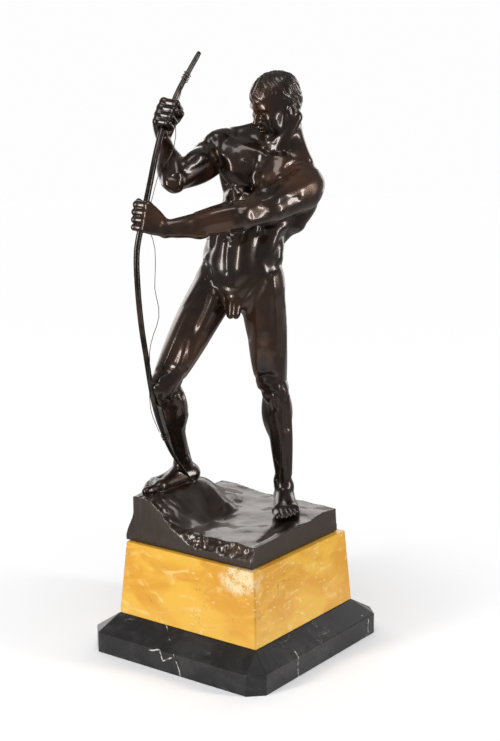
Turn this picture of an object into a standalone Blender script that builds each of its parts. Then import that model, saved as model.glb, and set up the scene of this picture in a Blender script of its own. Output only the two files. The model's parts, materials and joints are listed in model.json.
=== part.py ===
"""Bronze archer on a rock, on a Siena marble block and a black marble foot.

The figure, its rock and its bow are modelled in 400ths of the figure's height (millimetres at the real
size), seen as the viewer sees it (x to the right, y away, z up from the underside of the bronze), and are
then scaled and turned on the block. The flesh is built up like clay: rolls and balls are pressed onto a
grid of distances, and the grid's surface is the casting.
"""
import math

import bmesh
import bpy
import numpy as np
import openvdb
from mathutils import Matrix, Vector

# Sizes in metres
FIGURE_HEIGHT = 0.400
FOOT_WIDTH = 0.190
FOOT_DEPTH = 0.198
FOOT_BAND = 0.0189
FOOT_HEIGHT = 0.0322
FOOT_CORNER = 0.0125
BLOCK_WIDTH = 0.1528
BLOCK_TOP_WIDTH = 0.143
BLOCK_HEIGHT = 0.0668
BLOCK_EDGE = 0.0018
ROCK_WIDTH = 0.1406
ROCK_DEPTH = 0.1333
ROCK_LEFT = 0.0043
ROCK_FRONT = 0.0008
BOW_TIP = 0.0020
BOW_GRIP = 0.00275
BOW_END = 0.0008
STRING = 0.00032
JOINT = 0.00035
FIT = 0.00036
CLAY_GRAIN = 0.0012
TURN = math.radians(36.06)
BRONZE_FACES = 6400
ROCK_CELLS = 22

UNIT = FIGURE_HEIGHT / 400
ROCK_SIDES = [
    (-ROCK_LEFT - ROCK_WIDTH / 2) / UNIT,
    (-ROCK_LEFT + ROCK_WIDTH / 2) / UNIT,
]
ROCK_ENDS = [
    (-ROCK_FRONT - ROCK_DEPTH / 2) / UNIT,
    (-ROCK_FRONT + ROCK_DEPTH / 2) / UNIT,
]
BLOCK_BASE = FOOT_HEIGHT + JOINT
ROCK_BASE = BLOCK_BASE + BLOCK_HEIGHT + JOINT
LEFT = 1
RIGHT = -1


def smooth_run(points, between):
    """A smooth curve through these points with so many steps between each two."""
    p = np.array(points, float)
    run = []
    for i in range(len(p) - 1):
        leave = (p[i + 1] - p[max(i - 1, 0)]) / 2
        arrive = (p[min(i + 2, len(p) - 1)] - p[i]) / 2
        for k in range(between):
            t = k / between
            run.append(
                (2 * t**3 - 3 * t**2 + 1) * p[i]
                + (t**3 - 2 * t**2 + t) * leave
                + (3 * t**2 - 2 * t**3) * p[i + 1]
                + (t**3 - t**2) * arrive
            )
    run.append(p[-1])
    return run


class Clay:
    """Clay on a grid: how far each grid point is from the surface, less than nought inside."""

    FAR = 12.0
    TOUCH_REACH = 95.0
    STROKE_REACH = 12.0

    def __init__(self, low, high, step):
        self.step = step
        self.axes = [np.arange(a, b, step, dtype=np.float32) for a, b in zip(low, high)]
        self.field = np.full([len(axis) for axis in self.axes], self.FAR, np.float32)

    def window(self, points, reach):
        """The part of the grid within reach of these points, as slices and as places along each axis."""
        low = np.min(points, axis=0) - reach
        high = np.max(points, axis=0) + reach
        spans = tuple(
            slice(*np.searchsorted(axis, (a, b)))
            for axis, a, b in zip(self.axes, low, high)
        )
        x, y, z = (axis[span] for axis, span in zip(self.axes, spans))
        return spans, (x[:, None, None], y[None, :, None], z[None, None, :])

    def merge(self, spans, distance, blend, cut):
        """Presses a shape on, or cuts it out, with a fillet about as wide as blend."""
        field = self.field[spans]
        if cut:
            field = -field
        merged = np.minimum(field, distance)
        if blend > 0:
            overlap = np.maximum(blend - np.abs(field - distance), 0)
            merged = merged - overlap * overlap * (0.25 / blend)
        self.field[spans] = -merged if cut else merged

    def roll(self, start, end, r0, r1, belly=0.0, flat=1.0, thin=None, blend=3.0, cut=False):
        """A roll from start to end, r0 and r1 thick at its ends and fuller by belly in its middle.
        Across the direction thin it is flattened to that share."""
        a = np.array(start, np.float32)
        b = np.array(end, np.float32)
        spans, grid = self.window((a, b), max(r0, r1) + max(belly, 0) + blend + 2 * self.step)
        along = b - a
        square_length = np.float32(max(along @ along, 1e-6))
        p = [g - c for g, c in zip(grid, a)]
        t = np.clip(sum(v * c for v, c in zip(p, along)) / square_length, 0, 1)
        off = [v - t * c for v, c in zip(p, along)]
        square = off[0] ** 2 + off[1] ** 2 + off[2] ** 2
        radius = r0 + (r1 - r0) * t
        if belly:
            radius = radius + belly * np.sin(math.pi * t)
        if thin is None:
            distance = np.sqrt(square) - radius
        else:
            n = np.array(thin, np.float32)
            n = n - along * (n @ along) / square_length
            n = n / np.linalg.norm(n)
            across = sum(v * c for v, c in zip(off, n))
            length = np.sqrt(square + across**2 * np.float32(1 / flat**2 - 1)) + np.float32(1e-6)
            distance = (length - radius) * (np.sqrt(square) + np.float32(1e-6)) / length
        self.merge(spans, distance, blend, cut)

    def ball(self, centre, radii, frame, blend=3.0, cut=False):
        """An egg with these half sizes along the frame's side, front and up."""
        c = np.array(centre, np.float32)
        radii = np.array(radii, np.float32)
        spans, grid = self.window((c,), float(radii.max()) + blend + 2 * self.step)
        p = [g - v for g, v in zip(grid, c)]
        scaled = [
            sum(v * w for v, w in zip(p, axis)) / r for axis, r in zip(frame.axes, radii)
        ]
        near = np.sqrt(sum(s * s for s in scaled)) + np.float32(1e-6)
        steep = np.sqrt(sum((s / r) ** 2 for s, r in zip(scaled, radii))) + np.float32(1e-6)
        self.merge(spans, near * (near - 1) / steep, blend, cut)

    def touch(self, eye, x, z):
        """Where the line of sight from eye through (x, 0, z) first meets the clay."""
        eye = np.array(eye, float)
        sight = np.array((x, 0, z), float) - eye
        share = 1 + np.arange(-self.TOUCH_REACH, self.TOUCH_REACH, 0.5) / np.linalg.norm(sight)
        along = eye + sight * share[:, None]
        low = [axis[0] for axis in self.axes]
        cells = np.rint((along - low) / self.step).astype(int)
        cells = np.clip(cells, 0, np.array(self.field.shape) - 1)
        met = np.flatnonzero(self.field[tuple(cells.T)] < 0)
        return along[met[0]] if len(met) else np.array((x, 0, z), float)

    def stroke(self, eye, depth, width, *points):
        """Draws a tool over the surface that shows from eye, through these points in x and z: a furrow of
        this depth, or a swelling where the depth is below nought."""
        path = [self.touch(eye, x, z) for x, z in smooth_run(points, 3)]
        path = np.array(path, np.float32)
        spans, grid = self.window(path, max(self.STROKE_REACH, 2.5 * width))
        look = np.array(eye, np.float32) - path.mean(axis=0)
        look /= np.linalg.norm(look)
        best = np.full(self.field[spans].shape, np.float32(1e6))
        inward = np.zeros_like(best)
        for a, b in zip(path, path[1:]):
            run = b - a
            flat = run - look * (run @ look)
            p = [g - c for g, c in zip(grid, a)]
            toward = sum(v * c for v, c in zip(p, look))
            t = np.clip(sum(v * c for v, c in zip(p, flat)) / np.float32(flat @ flat + 1e-6), 0, 1)
            square = sum((v - l * toward - t * c) ** 2 for v, l, c in zip(p, look, flat))
            nearer = square < best
            best = np.where(nearer, square, best)
            inward = np.where(nearer, toward - t * (run @ look), inward)
        fade = np.clip(1.6 - 1.6 * np.abs(inward) / np.float32(self.STROKE_REACH), 0, 1)
        self.field[spans] += np.float32(depth) * np.exp(-best / np.float32(width**2)) * fade

    def skin(self):
        """The clay's surface as points and faces."""
        grid = openvdb.FloatGrid(self.FAR)
        grid.copyFromArray(self.field)
        points, quads = grid.convertToQuads(isovalue=0.0)
        low = np.array([axis[0] for axis in self.axes])
        return points * self.step + low, quads[:, ::-1]


class Frame:
    """A place with its side (the figure's left), front and up directions."""

    def __init__(self, origin, front, up):
        self.origin = np.array(origin, float)
        self.up = np.array(up, float) / np.linalg.norm(up)
        front = np.array(front, float)
        front -= self.up * (front @ self.up)
        self.front = front / np.linalg.norm(front)
        self.side = np.cross(self.up, self.front)
        self.axes = np.array([self.side, self.front, self.up], np.float32)

    def at(self, side, front, up):
        return self.origin + side * self.side + front * self.front + up * self.up


class Bone:
    """A limb's bone from a to b. Front is the knee's or the biceps' side, out points away from the body."""

    def __init__(self, a, b, front, hand):
        self.a = np.array(a, float)
        self.b = np.array(b, float)
        self.length = np.linalg.norm(self.b - self.a)
        self.axis = (self.b - self.a) / self.length
        front = np.array(front, float)
        front -= self.axis * (front @ self.axis)
        self.front = front / np.linalg.norm(front)
        self.out = np.cross(self.front, self.axis) * hand
        self.axes = np.array([self.out, self.front, self.axis], np.float32)

    def at(self, t, front=0.0, out=0.0):
        return self.a + self.axis * (t * self.length) + self.front * front + self.out * out


class Grip:
    """A fist round the bow: k points the way the hand points, n from palm to bow, u up along the bow."""

    def __init__(self, rod, along, palm, hand):
        self.rod = np.array(rod, float)
        self.u = np.array(along, float) / np.linalg.norm(along)
        n = np.array(palm, float)
        n -= self.u * (n @ self.u)
        self.n = n / np.linalg.norm(n)
        self.k = np.cross(self.u, self.n) * hand
        self.axes = np.array([self.k, self.n, self.u], np.float32)

    def at(self, k, n, u):
        return self.rod + self.k * k + self.n * n + self.u * u


class Trunk:
    """The spine from seat to neck, a smooth curve through its stations."""

    STATIONS = {
        -30: ((6, 0, 200), (-0.42, -0.91, 0), (-0.06, 0, 1)),
        0: ((5, 1, 230), (-0.42, -0.91, 0), (-0.04, 0, 1)),
        33: ((6.5, 3, 262), (-0.44, -0.90, 0), (0.2, 0, 1)),
        84: ((23.5, 2.5, 310), (-0.45, -0.89, 0.06), (0.34, 0.02, 0.94)),
        124: ((36, 4, 348), (-0.45, -0.89, 0), (0.25, 0.02, 0.95)),
    }

    def __init__(self):
        self.heights = list(self.STATIONS)
        self.rows = np.array([sum(station, ()) for station in self.STATIONS.values()], float)

    def frame(self, height):
        h = self.heights
        last = len(h) - 1
        i = int(np.clip(np.searchsorted(h, height) - 1, 0, last - 1))
        t = (height - h[i]) / (h[i + 1] - h[i])
        p = self.rows
        leave = (p[i + 1] - p[max(i - 1, 0)]) / 2
        arrive = (p[min(i + 2, last)] - p[i]) / 2
        value = (
            (2 * t**3 - 3 * t**2 + 1) * p[i]
            + (t**3 - 2 * t**2 + t) * leave
            + (3 * t**2 - 2 * t**3) * p[i + 1]
            + (t**3 - t**2) * arrive
        )
        return Frame(value[:3], value[3:6], value[6:])

    def at(self, height, side, front):
        return self.frame(height).at(side, front, 0)


JOINTS = {
    "hip": {LEFT: (22, -7, 231), RIGHT: (-17, 7, 231)},
    "knee": {LEFT: (32.5, 12, 136), RIGHT: (-64.5, -22, 146)},
    "ankle": {LEFT: (43.5, 24, 40.5), RIGHT: (-50, 25, 62)},
    "shoulder": {LEFT: (58, -13, 319.5), RIGHT: (-8.5, 16, 352.5)},
    "elbow": {LEFT: (7, -57, 299.5), RIGHT: (-51.5, -38, 325)},
    "wrist": {LEFT: (-57, -60, 287.5), RIGHT: (-62.5, -2, 357)},
}
HEAD = Frame((33.5, 0, 388.5), (-0.80, -0.47, -0.37), (-0.26, -0.26, 0.93))

# Lines of the body, drawn on the clay by an eye in front of it: the depth and width of each furrow (or of
# a swelling, where the depth is below nought), and the points it runs through, to the right and up
EYE = (12, -1315, 440)
EYE_BEHIND = (12, 1315, 330)
BODY_LINES = {
    "breastbone": (1.3, 2.9, (18, 342.5), (16, 333), (13.5, 324.5), (13, 317)),
    "right breast, lower edge": (1.6, 2.5, (-9.5, 330.5), (-5.5, 323.5), (0.5, 318.5), (7.5, 316),
        (13.5, 315)),
    "left breast, lower edge": (1.3, 2.5, (13.5, 315), (21.5, 312.5), (30, 314), (38, 319.5)),
    "midline of belly": (0.8, 2.5, (-4, 277.5), (-7, 268), (-8, 256.5), (-7.5, 242.5)),
    "lower belly fold": (0.8, 3.1, (-23, 245), (-18, 236), (-8.5, 230), (1.5, 229.5), (10, 236),
        (20, 244), (37.5, 249.5)),
    "right groin": (1.3, 3.2, (-28, 249.5), (-25, 240), (-19, 229), (-12.5, 221)),
    "left groin": (1.2, 3.2, (39, 248.5), (28.5, 240.5), (17, 232), (6, 219.5)),
    "right thigh, tailor's muscle": (1.7, 3.6, (-24, 229), (-27.5, 216.5), (-33, 202.5), (-39, 188),
        (-42.5, 172.5), (-45.5, 158)),
    "left thigh, inner furrow": (1.3, 3.2, (24, 232.5), (18, 223), (14, 212), (12.5, 198), (12, 183.5)),
    "left shin, inner furrow": (1.3, 3.0, (27, 129.5), (30.5, 115), (34.5, 97.5), (36.5, 76), (37, 62)),
    "left shoulder and upper arm": (1.3, 3.0, (22.5, 301.5), (29.5, 298.5), (38, 300.5), (46, 305.5),
        (53, 307.5)),
    "right elbow fold": (1.2, 2.2, (-48, 342.5), (-47.5, 335), (-46.5, 326.5), (-45.5, 317)),
    "right breast, fullness": (-2.6, 8.0, (-3, 331.5), (2.5, 333)),
    "left breast, fullness": (-2.0, 8.0, (24, 325.5), (31, 329.5)),
    "right breast and shoulder": (1.5, 2.9, (-21.5, 360.5), (-18.5, 351), (-15.5, 343.5), (-9.5, 335.5)),
    "right shoulder, fullness": (-2.2, 7.0, (-19, 362.5), (-12, 363)),
    "belly fullness": (-2.8, 10.5, (3, 264), (3, 247)),
}
BACK_LINES = {
    "spine": (1.2, 3.4, (33, 352), (29, 330), (22, 306), (13, 284), (8, 262), (6, 246)),
    "left loin": (-1.0, 5.2, (26, 292), (16, 266), (12, 250)),
    "right loin": (-1.0, 5.2, (16, 294), (4, 268), (0, 250)),
    "left seat, fullness": (-2.8, 9.5, (21, 227), (20, 218)),
    "right seat, fullness": (-2.8, 9.5, (-11, 228), (-11, 219)),
    "seat furrow": (3.6, 2.5, (5, 240), (5, 226), (4, 210)),
    "left seat fold": (1.4, 2.9, (9, 206), (20, 202), (31, 206)),
    "right seat fold": (1.4, 2.9, (-1, 206), (-12, 203), (-24, 209)),
    "left seat, side hollow": (1.0, 6.5, (37, 232), (36, 222)),
    "right seat, side hollow": (1.0, 6.5, (-27, 236), (-28, 226)),
}

# The bow's middle line from its top to its foot on the rock
BOW = np.array([
    (-31.7, 15, 430.8), (-41.2, 6, 413.9), (-49.6, -4, 397.8), (-58.0, -14, 377.8),
    (-63.0, -23, 364.9), (-67.2, -34, 347.8), (-71.6, -45, 324.8), (-77.3, -54, 296.5),
    (-82.8, -57, 268.3), (-82.6, -55, 235.8), (-80.4, -49, 202.5), (-77.2, -42, 174.5),
    (-74.6, -35, 150), (-71.8, -27, 129.3), (-67.3, -16, 106.6), (-58.8, 0, 78.6),
    (-46.4, 15, 54.9), (-41.0, 20, 46.0),
], float)
# The string's height and how far it lies to the right of the bow and towards the viewer
STRING_RUN = (
    (405, -0.8, 3.4), (399, 2.4, 2.8), (391, 3.7, 0.4), (381, 4.4, 0), (372, 9.2, 3),
    (359, 13.5, 3), (346, 12.6, 1), (334, 6.3, 0), (321, 4.8, 0), (309, 4.2, 0), (297, 3.6, 0),
    (288, 5.4, 0), (280, 10.7, 0), (270, 14.9, 0), (252, 15.1, 0), (236, 14.3, 0), (220, 16.2, 0),
    (208, 14.7, 0), (194, 8.4, 0), (181, 3.9, 1.5), (166, 2.0, 3.2), (150, -0.6, 3.6),
    (134, -3.0, 2.2), (121, -4.6, 0), (111, -3.8, 0), (101, -3.0, 1.4),
)
WINDINGS = {"nock_winding_upper": (413.5, 408), "nock_winding_lower": (98, 93)}


def bow_at(height):
    """The bow's middle and its radius at this height."""
    z = BOW[::-1, 2]
    place = np.array([np.interp(height, z, BOW[::-1, axis]) for axis in range(3)])
    thick = (BOW_END, 0.54 * BOW_GRIP, 0.87 * BOW_GRIP, BOW_GRIP, 0.91 * BOW_GRIP, BOW_TIP)
    return place, float(np.interp(height, (46, 70, 130, 300, 400, 431), thick)) / UNIT


def torso(clay, trunk, arm):
    f = trunk.frame
    clay.ball(f(2).origin, (35, 23, 25), f(2), 0)
    clay.ball(f(24).origin, (33.5, 22.5, 24), f(24), 6)
    clay.ball(f(46).origin, (33, 22, 24), f(46), 6)
    clay.ball(f(68).origin, (32, 22.5, 26), f(68), 6)
    clay.ball(trunk.at(90, 0, -1), (33, 22, 26), f(90), 6)
    clay.ball(trunk.at(104, 0, -2), (28, 17, 20), f(104), 6)
    # the far shoulder drawn forward pushes the side of the back out
    clay.roll((57.5, 6, 314), (51.5, 4, 286), 15.5, 9.5, 2.4, blend=6)
    clay.roll((58, 0, 326), (50, 4, 330), 9, 9, blend=6)
    clay.roll((56, 8, 303), (29, 8, 264), 12, 8, 1, blend=6)
    for s in (LEFT, RIGHT):
        a = arm[s]
        # seat, hips and flanks
        clay.ball(trunk.at(-8, s * 14, -14), (15, 14.5, 18), f(-4), 8)
        clay.ball(trunk.at(8, s * 19, -13), (11, 9, 11), f(8), 8)
        clay.ball(trunk.at(10, s * 25, -2), (10, 16, 15), f(10), 6)
        clay.roll(trunk.at(23, s * 23, 12), trunk.at(29, s * 26.5, -6), 7.5, 7.5, 1.5, blend=5)
        clay.roll(trunk.at(18, s * 27, 1), trunk.at(44, s * 27, 2), 9, 9, 1, blend=5)
        clay.roll(trunk.at(34, s * 22, 12), trunk.at(56, s * 26, 8), 7, 6, 1, blend=4)
        for k in range(3):
            h = 84 - 9 * k
            clay.roll(trunk.at(h, s * 29, 1), trunk.at(h - 7, s * 22, 14), 3.4, 2.6, 0.8, blend=4)
        # back
        out = f(80).side
        clay.roll(a.at(0.1, -5, -2), trunk.at(52, s * 17, -16), 8, 6, 3, 0.7, out, 5)
        clay.roll(a.at(0.06, -5, -4), trunk.at(66, s * 25.5, -8), 6.4, 6, 1, 0.6, out, 5)
        clay.ball(trunk.at(98, s * (26 if s == LEFT else 19), -14), (13, 8, 16), f(98), 7)
        clay.roll(trunk.at(88, s * 22, -17), a.at(0.15, -6, 0), 6, 5, 2, blend=4)
        clay.roll(trunk.at(92, s * 7, -14), trunk.at(18, s * 9, -15), 7.5, 8, 1, blend=8)
        clay.roll(trunk.at(132, s * 5, -7), a.at(-0.08, 0, 5), 8, 6.5, 1.5, blend=6)
        clay.roll(trunk.at(118, s * 8, -12), a.at(-0.05, -6, 0), 8, 6, 1, blend=5)
        clay.roll(trunk.at(112, s * 4, -16), trunk.at(80, s * 4, -19), 7, 4, 1, blend=4)
        # chest muscle in four bands, and the collar bone
        end = a.at(0.24, 6, -2)
        front = f(96).front
        clay.roll(trunk.at(116, s * 9, 11), a.at(0.12, 7, -3), 7, 6.5, 1, 0.8, front, 6)
        clay.roll(trunk.at(108, s * 7, 15), end, 8.5, 5, 2.5, 0.7, front, 5)
        clay.roll(trunk.at(98, s * 6.5, 17.5), end, 9, 5, 3.5, 0.7, front, 3)
        clay.roll(trunk.at(89, s * 9, 19), end, 8, 5, 4, 0.7, front, 2.5)
        clay.roll(trunk.at(84, s * 14, 18.5), end, 6, 5, 3.5, 0.7, front, 2.5)
        clay.ball((trunk.at(116, s * 14, 0) + a.at(0)) / 2, (12, 9, 8), f(110), 5)
        clay.roll(trunk.at(121, s * 4, 11), a.at(-0.1, 3, 4), 3.2, 3.2, blend=3)
        # belly
        for h, reach in ((77, 20), (66, 20.5), (55, 21)):
            clay.ball(trunk.at(h, s * 8, reach), (9, 5, 7.5), f(h), 4)
        clay.ball(trunk.at(40, s * 8, 19), (11, 8, 14), f(40), 4)
        clay.ball(trunk.at(20, s * 8, 17), (14, 10.5, 20), f(20), 5)
    # groove down the back, navel and pit of the throat
    clay.ball(trunk.at(37, 0, 27.6), (1.6, 2.4, 2), f(37), 2.5, True)
    clay.ball(trunk.at(122, 0, 15), (4, 4, 4), f(122), 4, True)
    for s in (LEFT, RIGHT):
        clay.ball(trunk.at(-18.5, s * 2.7, 20), (3.6, 4.4, 5), f(-19), 1.2)
    clay.ball(trunk.at(-12, 0, 17), (7, 6.4, 8.4), f(-12), 4)
    clay.roll(trunk.at(-9, 0, 21.5), trunk.at(-18.5, 0.4, 25), 2.8, 2.5, 0.3, blend=1)


def leg(clay, t, h):
    """Thigh bone t and shin bone h with their muscles."""
    clay.roll(t.at(0), t.at(1), 19, 11.5, 2, blend=5)
    clay.roll(t.at(0.02, 6, 2), t.at(0.86, 5.5, 0.5), 11, 6.5, 3.4, blend=2.5)
    clay.roll(t.at(0.02, 1, 10), t.at(0.9, 3, 5.5), 10, 5.5, 3, blend=2.5)
    clay.roll(t.at(0.35, 3, -7), t.at(0.95, 3.5, -6.8), 6, 6.6, 3, blend=2.5)
    clay.roll(t.at(-0.06, -2, -10), t.at(0.62, 0, -6), 10, 6, 2.4, blend=4)
    clay.roll(t.at(0.06, -8, 4), t.at(1.02, -6, 7.5), 9, 3.4, 3.2, blend=3)
    clay.roll(t.at(0.06, -8, -5), t.at(1.04, -6.5, -6.5), 9, 3.2, 2.6, blend=3)
    clay.ball(t.at(-0.05, 0, 11), (9, 12, 14), t, 5)
    # knee
    clay.ball(h.at(0), (11.4, 9.6, 10), h, 4)
    clay.ball(h.at(-0.035, 9.5, 0), (6, 4, 6.8), h, 2)
    clay.roll(h.at(0.03, 10, 0), h.at(0.13, 9, 0), 2.8, 3.4, blend=2)
    for out in (-7, 7):
        clay.ball(h.at(0.05, 4.5, out), (4, 5, 6), h, 3)
    # calf, shin and ankle bones
    clay.roll(h.at(0), h.at(1), 10, 6.7, 1, blend=4)
    clay.roll(h.at(0.05, -6.5, -5.8), h.at(0.56, -5, -4), 6.2, 4.4, 5, blend=2.5)
    clay.roll(h.at(0.05, -6.5, 5), h.at(0.5, -5.5, 3.5), 5.8, 4, 3.8, blend=2.5)
    clay.roll(h.at(0.2, -4.5, 0), h.at(0.84, -4.5, 0), 8.5, 4, 0.6, blend=3)
    clay.roll(h.at(0.1, 4.2, 4), h.at(0.85, 3, 1), 4.8, 2.6, 2, blend=2.5)
    clay.roll(h.at(0.08, 1, 8.6), h.at(0.88, -1.5, 5.4), 3.8, 2.4, 1.8, blend=2.5)
    clay.roll(h.at(0.06, 8, -1.2), h.at(0.97, 4.6, -1.4), 2.4, 2, blend=2.5)
    clay.roll(h.at(0.6, -8, 0), h.at(1.1, -9, 0), 3.2, 2.8, blend=2.5)
    clay.ball(h.at(0.95, 0.5, -6), (3.4, 4, 5.2), h, 4)
    clay.ball(h.at(1, -0.5, 5.2), (2.8, 3.4, 4.6), h, 4)


def foot(clay, ankle, forward, up, hand):
    f = Frame(ankle, forward, up)
    sole = -19

    def at(front, out, z):
        return f.at(out * hand, front, z)

    clay.ball(at(-8.6, 0, sole + 8), (8, 8.6, 8), f, 3)
    clay.roll(at(0, 0, -1), at(-7.5, 0, -10), 7.2, 7.6, blend=4)
    clay.roll(at(0, -1, -3.5), at(30, -5, sole + 5), 7.2, 4.2, -1.2, blend=4)
    clay.roll(at(0, 1, -6), at(27, 5, sole + 4.4), 6.6, 4, -0.4, blend=4)
    clay.roll(at(-10, 3, sole + 6), at(26, 9, sole + 4.4), 6, 4.2, blend=4)
    clay.roll(at(-9, -3, sole + 7), at(33, -7, sole + 5.2), 5.6, 5.2, blend=4)
    clay.roll(at(31, -7, sole + 5), at(28, 9, sole + 4), 5, 4, blend=3)
    # toes
    clay.roll(at(35, -7.4, sole + 4.6), at(46, -6.6, sole + 3.8), 4.3, 3.9, blend=1.6)
    clay.ball(at(47, -6.6, sole + 3.8), (4.2, 4.4, 3.4), f, 1.2)
    for k in range(4):
        out = -1.2 + 4 * k
        thick = 2.4 - 0.1 * k
        bend = at(41.5 - 3.4 * k, out, sole + 5 - 0.3 * k)
        clay.roll(at(35.5 - 2.6 * k, out - 0.3, sole + 4.6), bend, 2.7, thick, blend=1.2)
        clay.roll(bend, at(45 - 3.8 * k, out + 0.2, sole + 2.8), thick, thick - 0.1, 0.2, blend=1)


def limb(clay, u, f):
    """Upper arm bone u and forearm bone f with their muscles."""
    clay.roll(u.at(0), u.at(1), 11.5, 8.8, 1.4, blend=4)
    clay.ball(u.at(0.04, -0.5, 2), (13.8, 13.8, 14.5), u, 4)
    clay.roll(u.at(0, 7.5, 1), u.at(0.52, 3, 7.5), 7, 3.5, 4, blend=2.5)
    clay.roll(u.at(-0.02, 1, 6.5), u.at(0.54, 0, 8.5), 7.5, 3.5, 4, blend=2.5)
    clay.roll(u.at(0, -7.5, 2), u.at(0.5, -3, 7.5), 7, 3.5, 3.6, blend=2.5)
    clay.roll(u.at(0.2, 6.5, -2), u.at(0.98, 5, -1), 5.6, 3.8, 3.8, blend=2)
    clay.roll(u.at(0.26, 6.5, 2), u.at(0.96, 5, 0.5), 5, 3.4, 3.4, blend=2)
    clay.roll(u.at(0.08, -9, -3), u.at(0.88, -7, -2), 7.4, 4.2, 4, blend=2.5)
    clay.roll(u.at(0.14, -8.5, 4), u.at(0.8, -7, 2.5), 6.6, 3.8, 3.8, blend=2.5)
    clay.ball(u.at(0.6, 8, 0), (8, 6.5, 13), u, 3)
    clay.roll(u.at(0.5, 0.5, 5), u.at(0.98, 2, 4.5), 4, 3.6, 1, blend=2)
    # elbow
    clay.ball(f.at(-0.04, -5.5, 0), (4.6, 4.4, 5.2), f, 2)
    clay.ball(u.at(1, 0, -5.5), (3.8, 4, 4.4), u, 2)
    # forearm
    clay.roll(f.at(0), f.at(1), 9.6, 6.2, 1.6, blend=3)
    clay.roll(u.at(0.78, 2, 6.5), f.at(0.58, 1.5, 6), 5.4, 3.6, 3.4, blend=2)
    clay.roll(f.at(0.02, 2.5, -6), f.at(0.7, 3, -3.4), 6.2, 3.6, 3.4, blend=2)
    clay.roll(f.at(0.06, -5, 3.4), f.at(0.74, -3.4, 2), 5.8, 3.4, 3, blend=2)
    clay.roll(f.at(0.05, -5, -3), f.at(0.9, -2.6, -3.4), 4, 2.4, 1.4, blend=2)
    clay.roll(f.at(0.62, 0, 2.6), f.at(1.04, 0, 3.4), 4.2, 4, blend=3)
    clay.roll(f.at(0.62, 0, -2.6), f.at(1.04, -0.6, -3.2), 4.2, 3.9, blend=3)


def fist(clay, wrist, grip, knuckle, bend, last, tip, thumb):
    """Four fingers and a thumb closed round the bow. Places are pairs of k and n."""
    w = np.array(wrist, float)
    for i in range(4):
        u = 9.6 - 6.3 * i
        r = 3.5 - 0.18 * i
        size = (1, 1.05, 1, 0.9)[i]
        a, b, c, d = (grip.at(k * size, n * size, u) for k, n in (knuckle, bend, last, tip))
        clay.roll(w + (a - w) * 0.12 + grip.u * (1.5 - i), a, 4.2, 3.9, 0.8, blend=3)
        clay.ball(a, (r + 0.5,) * 3, grip, 0.9)
        clay.roll(a, b, r, r * 0.94, 0.15, blend=0.7)
        clay.ball(b, (r * 1.02,) * 3, grip, 0.6)
        clay.roll(b, c, r * 0.92, r * 0.86, 0.1, blend=0.7)
        clay.roll(c, d, r * 0.86, r * 0.72, 0.1, blend=0.7)
    points = [w + (grip.at(*thumb[0]) - w) * 0.15] + [grip.at(*p) for p in thumb]
    for a, b, r0, r1 in zip(points, points[1:], (5, 4, 3.5), (4, 3.5, 3)):
        clay.roll(a, b, r0, r1, 0.2, blend=1.2)


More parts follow.
